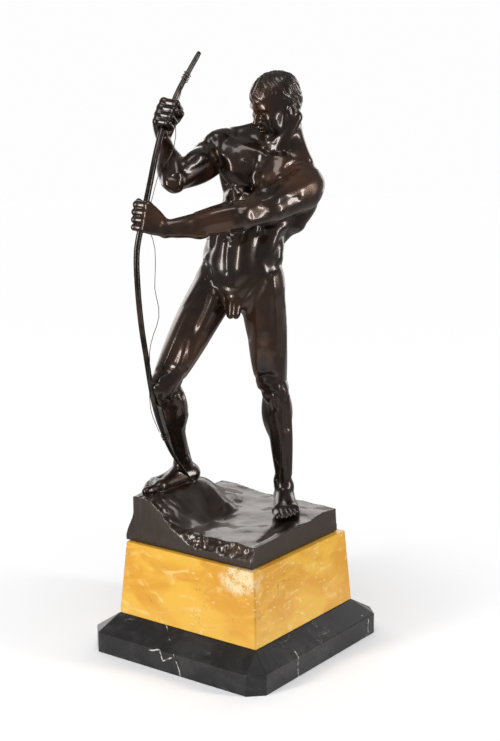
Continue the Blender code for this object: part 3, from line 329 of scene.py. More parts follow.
# Bronze archer and its ground
# A hollow bronze casting of nude figure and rocky ground in one, chased, with a dark brown waxed patina.
# It stands on the Siena block. The flesh is built up like clay: rolls and balls are pressed onto a grid
# of distances, and the grid's surface is the casting.
FIGURE_HEIGHT = 0.400
UNIT = FIGURE_HEIGHT / 400
TURN = math.radians(36.06)
ROCK_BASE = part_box("bronze_archer")[0].z
CLAY_STEP = 0.72
CASTING_FACES = 190000
LEFT = 1
RIGHT = -1

# The clay is worked in millimetres, as the viewer sees it: x to the right, y away and z up from the
# casting's underside. ON_BLOCK sets it down on the block, and the grid's corners bound the clay.
ON_BLOCK = Matrix.Translation((0, 0, ROCK_BASE)) @ Matrix.Rotation(TURN, 4, "Z") @ Matrix.Scale(UNIT, 4)
GRID_LOW = (-112, -100, -3)
GRID_HIGH = (101, 101, 426)
GROUND_HIGH = (101, 101, 62)


def curve_point(p, i, t):
    """A point of the smooth curve through the rows of p, a share t of the way from row i to the next."""
    leave = (p[i + 1] - p[max(i - 1, 0)]) / 2
    arrive = (p[min(i + 2, len(p) - 1)] - p[i]) / 2
    return (
        (2 * t**3 - 3 * t**2 + 1) * p[i]
        + (t**3 - 2 * t**2 + t) * leave
        + (3 * t**2 - 2 * t**3) * p[i + 1]
        + (t**3 - t**2) * arrive
    )


def smooth_run(points, between):
    """A smooth curve through these points with so many steps between each two."""
    p = np.array(points, float)
    run = [curve_point(p, i, k / between) for i in range(len(p) - 1) for k in range(between)]
    run.append(p[-1])
    return run


class Clay:
    """Clay on a grid: how far each grid point is from the surface, less than nought inside."""

    FAR = 12.0
    TOUCH_REACH = 95.0
    STROKE_REACH = 12.0

    def __init__(self, low, high, step):
        self.step = step
        self.axes = [np.arange(a, b, step, dtype=np.float32) for a, b in zip(low, high)]
        self.field = np.full([len(axis) for axis in self.axes], self.FAR, np.float32)

    def window(self, points, reach):
        """The part of the grid within reach of these points, as slices and as places along each axis."""
        low = np.min(points, axis=0) - reach
        high = np.max(points, axis=0) + reach
        spans = tuple(
            slice(*np.searchsorted(axis, (a, b)))
            for axis, a, b in zip(self.axes, low, high)
        )
        x, y, z = (axis[span] for axis, span in zip(self.axes, spans))
        return spans, (x[:, None, None], y[None, :, None], z[None, None, :])

    def merge(self, spans, distance, blend, cut):
        """Presses a shape on, or cuts it out, with a fillet about as wide as blend."""
        field = self.field[spans]
        if cut:
            field = -field
        merged = np.minimum(field, distance)
        if blend > 0:
            overlap = np.maximum(blend - np.abs(field - distance), 0)
            merged = merged - overlap * overlap * (0.25 / blend)
        self.field[spans] = -merged if cut else merged

    def roll(self, start, end, r0, r1, belly=0.0, flat=1.0, thin=None, blend=3.0, cut=False):
        """A roll from start to end, r0 and r1 thick at its ends and fuller by belly in its middle.
        Across the direction thin it is flattened to that share."""
        a = np.array(start, np.float32)
        b = np.array(end, np.float32)
        spans, grid = self.window((a, b), max(r0, r1) + max(belly, 0) + blend + 2 * self.step)
        along = b - a
        square_length = np.float32(max(along @ along, 1e-6))
        p = [g - c for g, c in zip(grid, a)]
        t = np.clip(sum(v * c for v, c in zip(p, along)) / square_length, 0, 1)
        off = [v - t * c for v, c in zip(p, along)]
        square = off[0] ** 2 + off[1] ** 2 + off[2] ** 2
        radius = r0 + (r1 - r0) * t
        if belly:
            radius = radius + belly * np.sin(math.pi * t)
        if thin is None:
            distance = np.sqrt(square) - radius
        else:
            n = np.array(thin, np.float32)
            n = n - along * (n @ along) / square_length
            n = n / np.linalg.norm(n)
            across = sum(v * c for v, c in zip(off, n))
            length = np.sqrt(square + across**2 * np.float32(1 / flat**2 - 1)) + np.float32(1e-6)
            distance = (length - radius) * (np.sqrt(square) + np.float32(1e-6)) / length
        self.merge(spans, distance, blend, cut)

    def ball(self, centre, radii, frame, blend=3.0, cut=False):
        """An egg with these half sizes along the frame's side, front and up."""
        c = np.array(centre, np.float32)
        radii = np.array(radii, np.float32)
        spans, grid = self.window((c,), float(radii.max()) + blend + 2 * self.step)
        p = [g - v for g, v in zip(grid, c)]
        scaled = [
            sum(v * w for v, w in zip(p, axis)) / r for axis, r in zip(frame.axes, radii)
        ]
        near = np.sqrt(sum(s * s for s in scaled)) + np.float32(1e-6)
        steep = np.sqrt(sum((s / r) ** 2 for s, r in zip(scaled, radii))) + np.float32(1e-6)
        self.merge(spans, near * (near - 1) / steep, blend, cut)

    def touch(self, eye, x, z):
        """Where the line of sight from eye through (x, 0, z) first meets the clay."""
        eye = np.array(eye, float)
        sight = np.array((x, 0, z), float) - eye
        share = 1 + np.arange(-self.TOUCH_REACH, self.TOUCH_REACH, 0.5) / np.linalg.norm(sight)
        along = eye + sight * share[:, None]
        low = [axis[0] for axis in self.axes]
        cells = np.rint((along - low) / self.step).astype(int)
        cells = np.clip(cells, 0, np.array(self.field.shape) - 1)
        met = np.flatnonzero(self.field[tuple(cells.T)] < 0)
        return along[met[0]] if len(met) else np.array((x, 0, z), float)

    def stroke(self, eye, depth, width, *points):
        """Draws a tool over the surface that shows from eye, through these points in x and z: a furrow of
        this depth, or a swelling where the depth is below nought."""
        path = [self.touch(eye, x, z) for x, z in smooth_run(points, 3)]
        path = np.array(path, np.float32)
        spans, grid = self.window(path, max(self.STROKE_REACH, 2.5 * width))
        look = np.array(eye, np.float32) - path.mean(axis=0)
        look /= np.linalg.norm(look)
        best = np.full(self.field[spans].shape, np.float32(1e6))
        inward = np.zeros_like(best)
        for a, b in zip(path, path[1:]):
            run = b - a
            flat = run - look * (run @ look)
            p = [g - c for g, c in zip(grid, a)]
            toward = sum(v * c for v, c in zip(p, look))
            t = np.clip(sum(v * c for v, c in zip(p, flat)) / np.float32(flat @ flat + 1e-6), 0, 1)
            square = sum((v - l * toward - t * c) ** 2 for v, l, c in zip(p, look, flat))
            nearer = square < best
            best = np.where(nearer, square, best)
            inward = np.where(nearer, toward - t * (run @ look), inward)
        fade = np.clip(1.6 - 1.6 * np.abs(inward) / np.float32(self.STROKE_REACH), 0, 1)
        self.field[spans] += np.float32(depth) * np.exp(-best / np.float32(width**2)) * fade

    def skin(self):
        """The clay's surface as points and faces."""
        grid = openvdb.FloatGrid(self.FAR)
        grid.copyFromArray(self.field)
        points, quads = grid.convertToQuads(isovalue=0.0)
        low = np.array([axis[0] for axis in self.axes])
        return points * self.step + low, quads[:, ::-1]


class Frame:
    """A place with its side (the figure's left), front and up directions."""

    def __init__(self, origin, front, up):
        self.origin = np.array(origin, float)
        self.up = np.array(up, float) / np.linalg.norm(up)
        front = np.array(front, float)
        front -= self.up * (front @ self.up)
        self.front = front / np.linalg.norm(front)
        self.side = np.cross(self.up, self.front)
        self.axes = np.array([self.side, self.front, self.up], np.float32)

    def at(self, side, front, up):
        return self.origin + side * self.side + front * self.front + up * self.up


class Bone:
    """A limb's bone from a to b. Front is the knee's or the biceps' side, out points away from the body."""

    def __init__(self, a, b, front, hand):
        self.a = np.array(a, float)
        self.b = np.array(b, float)
        self.length = np.linalg.norm(self.b - self.a)
        self.axis = (self.b - self.a) / self.length
        front = np.array(front, float)
        front -= self.axis * (front @ self.axis)
        self.front = front / np.linalg.norm(front)
        self.out = np.cross(self.front, self.axis) * hand
        self.axes = np.array([self.out, self.front, self.axis], np.float32)

    def at(self, t, front=0.0, out=0.0):
        return self.a + self.axis * (t * self.length) + self.front * front + self.out * out


class Grip:
    """A fist round the bow: k points the way the hand points, n from palm to bow, u up along the bow."""

    def __init__(self, rod, along, palm, hand):
        self.rod = np.array(rod, float)
        self.u = np.array(along, float) / np.linalg.norm(along)
        n = np.array(palm, float)
        n -= self.u * (n @ self.u)
        self.n = n / np.linalg.norm(n)
        self.k = np.cross(self.u, self.n) * hand
        self.axes = np.array([self.k, self.n, self.u], np.float32)

    def at(self, k, n, u):
        return self.rod + self.k * k + self.n * n + self.u * u


class Trunk:
    """The spine from seat to neck, a smooth curve through its stations."""

    STATIONS = {
        -30: ((6, 0, 200), (-0.42, -0.91, 0), (-0.06, 0, 1)),
        0: ((5, 1, 230), (-0.42, -0.91, 0), (-0.04, 0, 1)),
        33: ((6.5, 3, 262), (-0.44, -0.90, 0), (0.2, 0, 1)),
        84: ((23.5, 2.5, 310), (-0.45, -0.89, 0.06), (0.34, 0.02, 0.94)),
        124: ((36, 4, 348), (-0.45, -0.89, 0), (0.25, 0.02, 0.95)),
    }

    def __init__(self):
        self.heights = list(self.STATIONS)
        self.rows = np.array([sum(station, ()) for station in self.STATIONS.values()], float)

    def frame(self, height):
        h = self.heights
        i = int(np.clip(np.searchsorted(h, height) - 1, 0, len(h) - 2))
        row = curve_point(self.rows, i, (height - h[i]) / (h[i + 1] - h[i]))
        return Frame(row[:3], row[3:6], row[6:])

    def at(self, height, side, front):
        return self.frame(height).at(side, front, 0)


JOINTS = {
    "hip": {LEFT: (22, -7, 231), RIGHT: (-17, 7, 231)},
    "knee": {LEFT: (32.5, 12, 136), RIGHT: (-64.5, -22, 146)},
    "ankle": {LEFT: (43.5, 24, 40.5), RIGHT: (-50, 25, 62)},
    "shoulder": {LEFT: (58, -13, 319.5), RIGHT: (-8.5, 16, 352.5)},
    "elbow": {LEFT: (7, -57, 299.5), RIGHT: (-51.5, -38, 325)},
    "wrist": {LEFT: (-57, -60, 287.5), RIGHT: (-62.5, -2, 357)},
}
HEAD = Frame((33.5, 0, 388.5), (-0.80, -0.47, -0.37), (-0.26, -0.26, 0.93))

# Lines drawn on the clay as an eye in front of it or behind it sees them: the depth of each furrow, or of
# a swelling where the depth is below nought, its width, and the points it runs through, right and up
EYE = (12, -1315, 440)
EYE_BEHIND = (12, 1315, 330)
BODY_LINES = {
    "breastbone": (1.3, 2.9, (18, 342.5), (16, 333), (13.5, 324.5), (13, 317)),
    "right breast, lower edge": (1.6, 2.5, (-9.5, 330.5), (-5.5, 323.5), (0.5, 318.5), (7.5, 316),
        (13.5, 315)),
    "left breast, lower edge": (1.3, 2.5, (13.5, 315), (21.5, 312.5), (30, 314), (38, 319.5)),
    "right shoulder and biceps": (1.5, 3.1, (-30, 358), (-27.5, 354.5), (-24, 348.5), (-21, 342),
        (-18.5, 335)),
    "midline of belly": (0.8, 2.5, (-4, 277.5), (-7, 268), (-8, 256.5), (-7.5, 242.5)),
    "belly, right edge": (0.7, 3.2, (-24.5, 274), (-26, 262.5), (-25.5, 251.5), (-22.5, 243.5)),
    "belly, left edge": (0.7, 3.4, (37.5, 274), (36, 262.5), (34, 253)),
    "lower belly fold": (0.8, 3.1, (-23, 245), (-18, 236), (-8.5, 230), (1.5, 229.5), (10, 236),
        (20, 244), (37.5, 249.5)),
    "right groin": (1.3, 3.2, (-28, 249.5), (-25, 240), (-19, 229), (-12.5, 221)),
    "left groin": (1.2, 3.2, (39, 248.5), (28.5, 240.5), (17, 232), (6, 219.5)),
    "right thigh, outer furrow": (1.1, 2.5, (-26.5, 236), (-32, 227.5), (-38, 219.5), (-44.5, 211.5)),
    "right thigh, outer ridge": (-0.7, 3.4, (-44.5, 210.5), (-52.5, 190.5), (-59.5, 172.5), (-65.5, 158)),
    "right thigh, middle furrow": (1.0, 3.6, (-36.5, 207), (-42.5, 189.5), (-48.5, 175.5), (-54, 161.5)),
    "right thigh, tailor's muscle": (1.7, 3.6, (-24, 229), (-27.5, 216.5), (-33, 202.5), (-39, 188),
        (-42.5, 172.5), (-45.5, 158)),
    "right thigh, inner swelling": (-2.2, 5.5, (-19, 219.5), (-23.5, 205), (-29.5, 192.5)),
    "right knee, inner swelling": (-2.2, 4.4, (-45, 179), (-49, 166), (-52.5, 158)),
    "right knee, above the cap": (0.8, 2.0, (-71.5, 153.5), (-65.5, 155.5), (-59, 155), (-55, 151.5)),
    "right kneecap": (-1.4, 3.0, (-68, 147), (-64.5, 148.5), (-61, 150)),
    "right knee, inner side": (0.8, 2.2, (-49.5, 157), (-47, 149), (-48.5, 140)),
    "right calf, upper edge": (1.0, 2.2, (-61.5, 126), (-57.5, 131), (-50.5, 132.5), (-45.5, 127),
        (-44, 117)),
    "right calf": (-1.2, 3.4, (-49, 127), (-47, 112.5)),
    "right shin furrow": (1.0, 3.1, (-53.5, 117), (-55.5, 101), (-52, 83.5)),
    "left thigh, outer edge": (-0.7, 2.1, (31.5, 240.5), (34.5, 223), (36, 204), (36, 186), (35, 171)),
    "left thigh, outer furrow": (1.3, 2.9, (40, 217.5), (42, 201.5), (42, 186), (41, 171)),
    "left thigh, front swelling": (-0.9, 4.4, (25.5, 244), (27.5, 232), (28, 217.5), (26, 190.5)),
    "left thigh, inner furrow": (1.3, 3.2, (24, 232.5), (18, 223), (14, 212), (12.5, 198), (12, 183.5)),
    "left knee, inner swelling": (-1.0, 4.4, (17.5, 172.5), (17.5, 161.5), (20, 152.5)),
    "left knee, middle furrow": (0.7, 2.9, (24.5, 176), (24, 165.5), (24.5, 156)),
    "left knee, outer swelling": (-0.8, 3.9, (31.5, 172.5), (33.5, 161.5), (34, 153.5)),
    "left knee, above the cap": (0.8, 2.2, (17.5, 147.5), (23.5, 149.5), (29.5, 150), (34, 148.5)),
    "left kneecap": (-1.5, 3.4, (25, 142.5), (28, 141)),
    "left knee, below the cap": (0.7, 2.2, (22, 135), (27, 132.5), (32.5, 133.5)),
    "left shin, inner furrow": (1.0, 3.2, (27, 129.5), (30.5, 115), (34.5, 97.5), (36.5, 76), (37, 62)),
    "left shin bone": (-0.7, 2.3, (33.5, 129), (37, 112.5), (40, 90), (40.5, 64)),
    "left shin, outer furrow": (0.9, 2.9, (41.5, 132.5), (44.5, 119.5), (45, 101)),
    "left shoulder, above": (1.2, 2.2, (43, 332.5), (50, 337.5), (58.5, 339), (67, 336.5), (72.5, 331.5)),
    "left shoulder and upper arm": (1.3, 3.0, (22.5, 301.5), (29.5, 298.5), (38, 300.5), (46, 305.5),
        (53, 307.5)),
    "left biceps": (0.8, 2.5, (31, 312.5), (20.5, 306.5), (11, 303), (3, 300.5)),
    "left elbow hollow": (1.5, 4.6, (15.5, 293.5), (21.5, 294.5), (27.5, 293.5)),
    "left elbow bone": (-1.0, 3.4, (1.5, 293.5), (6.5, 290.5)),
    "left forearm, upper furrow": (1.0, 2.5, (3, 296), (-7, 291.5), (-18.5, 289), (-30.5, 287)),
    "left forearm, upper swelling": (-0.7, 3.4, (-3, 299), (-14, 296), (-25.5, 291.5), (-37, 288)),
    "left forearm, lower furrow": (0.8, 2.7, (-4.5, 283), (-17.5, 280), (-31, 278), (-45.5, 278)),
    "left wrist bone": (-1.3, 2.4, (-64, 283.5), (-62, 282.5)),
    "right elbow fold": (1.2, 2.2, (-48, 342.5), (-47.5, 335), (-46.5, 326.5), (-45.5, 317)),
    "right biceps": (-1.5, 4.8, (-32, 346), (-39, 343.5), (-44, 338.5)),
    "right arm, lower furrow": (1.2, 2.9, (-26, 337.5), (-34, 333), (-42.5, 329.5)),
    "right forearm, outer furrow": (1.0, 2.2, (-63.5, 340), (-62, 331.5), (-56.5, 325.5), (-50, 324)),
    "right forearm, middle furrow": (0.8, 2.5, (-58.5, 354.5), (-57, 343.5), (-58, 334)),
    "right forearm, bone": (-0.7, 2.9, (-66, 335), (-62, 322), (-55.5, 314)),
    "right breast, fullness": (-2.6, 8.0, (-3, 331.5), (2.5, 333)),
    "right breast, outer fullness": (-1.6, 7.0, (-6, 342), (0, 347)),
    "left breast, fullness": (-2.0, 8.0, (24, 325.5), (31, 329.5)),
    "right breast and shoulder": (1.5, 2.9, (-21.5, 360.5), (-18.5, 351), (-15.5, 343.5), (-9.5, 335.5)),
    "right shoulder, fullness": (-2.2, 7.0, (-19, 362.5), (-12, 363)),
    "right breast, tip": (-1.2, 1.5, (6, 339), (7, 339)),
    "left breast, tip": (-1.2, 1.5, (37, 326), (38.5, 326.5)),
    "left collar bone": (-1.0, 3.1, (23, 345.5), (31, 344.5), (39.5, 342.5), (49, 340)),
    "above the left collar bone": (1.2, 3.4, (27.5, 348.5), (35, 348), (43, 347)),
    "right collar bone": (-0.7, 3.1, (17, 348), (9.5, 351), (1.5, 356.5)),
    "midline under the breast": (1.0, 2.3, (12, 313.5), (7.5, 308), (4, 303)),
    "rib arch": (1.1, 2.2, (8.5, 314.5), (2.5, 311.5), (-3, 307.5), (-5.5, 303)),
    "rib, first": (-1.0, 2.5, (0, 317), (-6.5, 312.5), (-9, 308)),
    "rib, second": (-1.0, 2.5, (-2, 309), (-6.5, 305.5), (-10, 303)),
    "belly fullness": (-2.8, 10.5, (3, 264), (3, 247)),
    "navel, upper edge": (-1.0, 1.3, (-11, 270.5), (-8, 272), (-5.5, 270.5)),
    "back of the left arm": (1.0, 2.9, (27.5, 284), (38, 286), (48.5, 290.5), (59, 294)),
}
BACK_LINES = {
    "spine": (1.2, 3.4, (33, 352), (29, 330), (22, 306), (13, 284), (8, 262), (6, 246)),
    "left blade, inner edge": (1.1, 3.1, (44, 344), (41, 328), (38, 312)),
    "left blade, lower edge": (1.0, 3.1, (38, 312), (46, 304), (58, 302)),
    "right blade, inner edge": (1.1, 3.1, (20, 348), (16, 334), (12, 320)),
    "right blade, lower edge": (1.0, 3.1, (12, 320), (3, 316), (-6, 322)),
    "left blade": (-1.2, 4.5, (50, 328), (50, 316)),
    "right blade": (-1.2, 4.5, (6, 336), (4, 326)),
    "left loin": (-1.0, 5.2, (26, 292), (16, 266), (12, 250)),
    "right loin": (-1.0, 5.2, (16, 294), (4, 268), (0, 250)),
    "left flank furrow": (1.0, 3.4, (46, 292), (32, 272), (24, 258), (22, 248)),
    "right flank furrow": (1.0, 3.4, (2, 298), (-8, 276), (-12, 258), (-10, 246)),
    "left hip bone": (0.9, 3.4, (12, 243), (24, 252), (36, 254)),
    "right hip bone": (0.9, 3.4, (0, 243), (-14, 250), (-25, 250)),
    "left seat, fullness": (-2.8, 9.5, (21, 227), (20, 218)),
    "right seat, fullness": (-2.8, 9.5, (-11, 228), (-11, 219)),
    "seat furrow": (3.6, 2.5, (5, 240), (5, 226), (4, 210)),
    "left seat fold": (1.4, 2.9, (9, 206), (20, 202), (31, 206)),
    "right seat fold": (1.4, 2.9, (-1, 206), (-12, 203), (-24, 209)),
    "left seat, side hollow": (1.0, 6.5, (37, 232), (36, 222)),
    "right seat, side hollow": (1.0, 6.5, (-27, 236), (-28, 226)),
    "left thigh, back furrow": (1.0, 3.4, (22, 196), (26, 176), (30, 156)),
    "right thigh, back furrow": (1.0, 3.4, (-18, 198), (-34, 176), (-50, 156)),
    "left knee hollow": (1.2, 4.7, (32, 140), (33, 132)),
    "right knee hollow": (1.2, 4.7, (-60, 146), (-62, 138)),
    "left calf furrow": (1.0, 3.1, (35, 124), (37, 108), (39, 94)),
    "right calf furrow": (1.0, 3.1, (-60, 132), (-57, 118), (-54, 104)),
    "left heel cord": (-0.9, 3.1, (41, 74), (43, 56), (44, 42)),
    "right heel cord": (-0.9, 3.1, (-52, 90), (-51, 76), (-50, 64)),
}

# The bow's middle line from its top to its foot on the rock, which the fists close round, and how its
# radius changes with its height
BOW = np.array([
    (-31.7, 15, 430.8), (-41.2, 6, 413.9), (-49.6, -4, 397.8), (-58.0, -14, 377.8),
    (-63.0, -23, 364.9), (-67.2, -34, 347.8), (-71.6, -45, 324.8), (-77.3, -54, 296.5),
    (-82.8, -57, 268.3), (-82.6, -55, 235.8), (-80.4, -49, 202.5), (-77.2, -42, 174.5),
    (-74.6, -35, 150), (-71.8, -27, 129.3), (-67.3, -16, 106.6), (-58.8, 0, 78.6),
    (-46.4, 15, 54.9), (-41.0, 20, 46.0),
], float)
BOW_TIP = 0.0020
BOW_GRIP = 0.00275
BOW_END = 0.0008
BOW_RADII = (BOW_END, 0.54 * BOW_GRIP, 0.87 * BOW_GRIP, BOW_GRIP, 0.91 * BOW_GRIP, BOW_TIP)
BOW_HEIGHTS = (46, 70, 130, 300, 400, 431)


def bow_at(height):
    """The bow's middle and its radius at this height."""
    z = BOW[::-1, 2]
    place = np.array([np.interp(height, z, BOW[::-1, axis]) for axis in range(3)])
    return place, float(np.interp(height, BOW_HEIGHTS, BOW_RADII)) / UNIT


def torso(clay, trunk, arm):
    f = trunk.frame
    clay.ball(f(2).origin, (35, 23, 25), f(2), 0)
    clay.ball(f(24).origin, (33.5, 22.5, 24), f(24), 6)
    clay.ball(f(46).origin, (33, 22, 24), f(46), 6)
    clay.ball(f(68).origin, (32, 22.5, 26), f(68), 6)
    clay.ball(trunk.at(90, 0, -1), (33, 22, 26), f(90), 6)
    clay.ball(trunk.at(104, 0, -2), (28, 17, 20), f(104), 6)
    # the far shoulder drawn forward pushes the side of the back out
    clay.roll((57.5, 6, 314), (51.5, 4, 286), 15.5, 9.5, 2.4, blend=6)
    clay.roll((58, 0, 326), (50, 4, 330), 9, 9, blend=6)
    clay.roll((56, 8, 303), (29, 8, 264), 12, 8, 1, blend=6)
    for s in (LEFT, RIGHT):
        a = arm[s]
        # seat, hips and flanks
        clay.ball(trunk.at(-8, s * 14, -14), (15, 14.5, 18), f(-4), 8)
        clay.ball(trunk.at(8, s * 19, -13), (11, 9, 11), f(8), 8)
        clay.ball(trunk.at(10, s * 25, -2), (10, 16, 15), f(10), 6)
        clay.roll(trunk.at(23, s * 23, 12), trunk.at(29, s * 26.5, -6), 7.5, 7.5, 1.5, blend=5)
        clay.roll(trunk.at(18, s * 27, 1), trunk.at(44, s * 27, 2), 9, 9, 1, blend=5)
        clay.roll(trunk.at(34, s * 22, 12), trunk.at(56, s * 26, 8), 7, 6, 1, blend=4)
        for k in range(3):
            h = 84 - 9 * k
            clay.roll(trunk.at(h, s * 29, 1), trunk.at(h - 7, s * 22, 14), 3.4, 2.6, 0.8, blend=4)
        # back
        out = f(80).side
        clay.roll(a.at(0.1, -5, -2), trunk.at(52, s * 17, -16), 8, 6, 3, 0.7, out, 5)
        clay.roll(a.at(0.06, -5, -4), trunk.at(66, s * 25.5, -8), 6.4, 6, 1, 0.6, out, 5)
        clay.ball(trunk.at(98, s * (26 if s == LEFT else 19), -14), (13, 8, 16), f(98), 7)
        clay.roll(trunk.at(88, s * 22, -17), a.at(0.15, -6, 0), 6, 5, 2, blend=4)
        clay.roll(trunk.at(92, s * 7, -14), trunk.at(18, s * 9, -15), 7.5, 8, 1, blend=8)
        clay.roll(trunk.at(132, s * 5, -7), a.at(-0.08, 0, 5), 8, 6.5, 1.5, blend=6)
        clay.roll(trunk.at(118, s * 8, -12), a.at(-0.05, -6, 0), 8, 6, 1, blend=5)
        clay.roll(trunk.at(112, s * 4, -16), trunk.at(80, s * 4, -19), 7, 4, 1, blend=4)
        # chest muscle in four bands, and the collar bone
        end = a.at(0.24, 6, -2)
        front = f(96).front
        clay.roll(trunk.at(116, s * 9, 11), a.at(0.12, 7, -3), 7, 6.5, 1, 0.8, front, 6)
        clay.roll(trunk.at(108, s * 7, 15), end, 8.5, 5, 2.5, 0.7, front, 5)
        clay.roll(trunk.at(98, s * 6.5, 17.5), end, 9, 5, 3.5, 0.7, front, 3)
        clay.roll(trunk.at(89, s * 9, 19), end, 8, 5, 4, 0.7, front, 2.5)
        clay.roll(trunk.at(84, s * 14, 18.5), end, 6, 5, 3.5, 0.7, front, 2.5)
        clay.ball((trunk.at(116, s * 14, 0) + a.at(0)) / 2, (12, 9, 8), f(110), 5)
        clay.roll(trunk.at(121, s * 4, 11), a.at(-0.1, 3, 4), 3.2, 3.2, blend=3)
        # belly
        for h, reach in ((77, 20), (66, 20.5), (55, 21)):
            clay.ball(trunk.at(h, s * 8, reach), (9, 5, 7.5), f(h), 4)
        clay.ball(trunk.at(40, s * 8, 19), (11, 8, 14), f(40), 4)
        clay.ball(trunk.at(20, s * 8, 17), (14, 10.5, 20), f(20), 5)
    # navel and pit of the throat
    clay.ball(trunk.at(37, 0, 27.6), (1.6, 2.4, 2), f(37), 2.5, True)
    clay.ball(trunk.at(122, 0, 15), (4, 4, 4), f(122), 4, True)
    # loins, simple and small
    for s in (LEFT, RIGHT):
        clay.ball(trunk.at(-18.5, s * 2.7, 20), (3.6, 4.4, 5), f(-19), 1.2)
    clay.ball(trunk.at(-12, 0, 17), (7, 6.4, 8.4), f(-12), 4)
    clay.roll(trunk.at(-9, 0, 21.5), trunk.at(-18.5, 0.4, 25), 2.8, 2.5, 0.3, blend=1)


def leg(clay, t, h):
    """Thigh bone t and shin bone h with their muscles."""
    clay.roll(t.at(0), t.at(1), 19, 11.5, 2, blend=5)
    clay.roll(t.at(0.02, 6, 2), t.at(0.86, 5.5, 0.5), 11, 6.5, 3.4, blend=2.5)
    clay.roll(t.at(0.02, 1, 10), t.at(0.9, 3, 5.5), 10, 5.5, 3, blend=2.5)
    clay.roll(t.at(0.35, 3, -7), t.at(0.95, 3.5, -6.8), 6, 6.6, 3, blend=2.5)
    clay.roll(t.at(-0.06, -2, -10), t.at(0.62, 0, -6), 10, 6, 2.4, blend=4)
    clay.roll(t.at(0.06, -8, 4), t.at(1.02, -6, 7.5), 9, 3.4, 3.2, blend=3)
    clay.roll(t.at(0.06, -8, -5), t.at(1.04, -6.5, -6.5), 9, 3.2, 2.6, blend=3)
    clay.ball(t.at(-0.05, 0, 11), (9, 12, 14), t, 5)
    # knee
    clay.ball(h.at(0), (11.4, 9.6, 10), h, 4)
    clay.ball(h.at(-0.035, 9.5, 0), (6, 4, 6.8), h, 2)
    clay.roll(h.at(0.03, 10, 0), h.at(0.13, 9, 0), 2.8, 3.4, blend=2)
    for out in (-7, 7):
        clay.ball(h.at(0.05, 4.5, out), (4, 5, 6), h, 3)
    # calf, shin and ankle bones
    clay.roll(h.at(0), h.at(1), 10, 6.7, 1, blend=4)
    clay.roll(h.at(0.05, -6.5, -5.8), h.at(0.56, -5, -4), 6.2, 4.4, 5, blend=2.5)
    clay.roll(h.at(0.05, -6.5, 5), h.at(0.5, -5.5, 3.5), 5.8, 4, 3.8, blend=2.5)
    clay.roll(h.at(0.2, -4.5, 0), h.at(0.84, -4.5, 0), 8.5, 4, 0.6, blend=3)
    clay.roll(h.at(0.1, 4.2, 4), h.at(0.85, 3, 1), 4.8, 2.6, 2, blend=2.5)
    clay.roll(h.at(0.08, 1, 8.6), h.at(0.88, -1.5, 5.4), 3.8, 2.4, 1.8, blend=2.5)
    clay.roll(h.at(0.06, 8, -1.2), h.at(0.97, 4.6, -1.4), 2.4, 2, blend=2.5)
    clay.roll(h.at(0.6, -8, 0), h.at(1.1, -9, 0), 3.2, 2.8, blend=2.5)
    clay.ball(h.at(0.95, 0.5, -6), (3.4, 4, 5.2), h, 4)
    clay.ball(h.at(1, -0.5, 5.2), (2.8, 3.4, 4.6), h, 4)


def foot(clay, ankle, forward, up, hand):
    f = Frame(ankle, forward, up)
    sole = -19

    def at(front, out, z):
        return f.at(out * hand, front, z)

    clay.ball(at(-8.6, 0, sole + 8), (8, 8.6, 8), f, 3)
    clay.roll(at(0, 0, -1), at(-7.5, 0, -10), 7.2, 7.6, blend=4)
    clay.roll(at(0, -1, -3.5), at(30, -5, sole + 5), 7.2, 4.2, -1.2, blend=4)
    clay.roll(at(0, 1, -6), at(27, 5, sole + 4.4), 6.6, 4, -0.4, blend=4)
    clay.roll(at(-10, 3, sole + 6), at(26, 9, sole + 4.4), 6, 4.2, blend=4)
    clay.roll(at(-9, -3, sole + 7), at(33, -7, sole + 5.2), 5.6, 5.2, blend=4)
    clay.roll(at(31, -7, sole + 5), at(28, 9, sole + 4), 5, 4, blend=3)
    # toes
    clay.roll(at(35, -7.4, sole + 4.6), at(46, -6.6, sole + 3.8), 4.3, 3.9, blend=1.6)
    clay.ball(at(47, -6.6, sole + 3.8), (4.2, 4.4, 3.4), f, 1.2)
    for k in range(4):
        out = -1.2 + 4 * k
        thick = 2.4 - 0.1 * k
        bend = at(41.5 - 3.4 * k, out, sole + 5 - 0.3 * k)
        clay.roll(at(35.5 - 2.6 * k, out - 0.3, sole + 4.6), bend, 2.7, thick, blend=1.2)
        clay.roll(bend, at(45 - 3.8 * k, out + 0.2, sole + 2.8), thick, thick - 0.1, 0.2, blend=1)


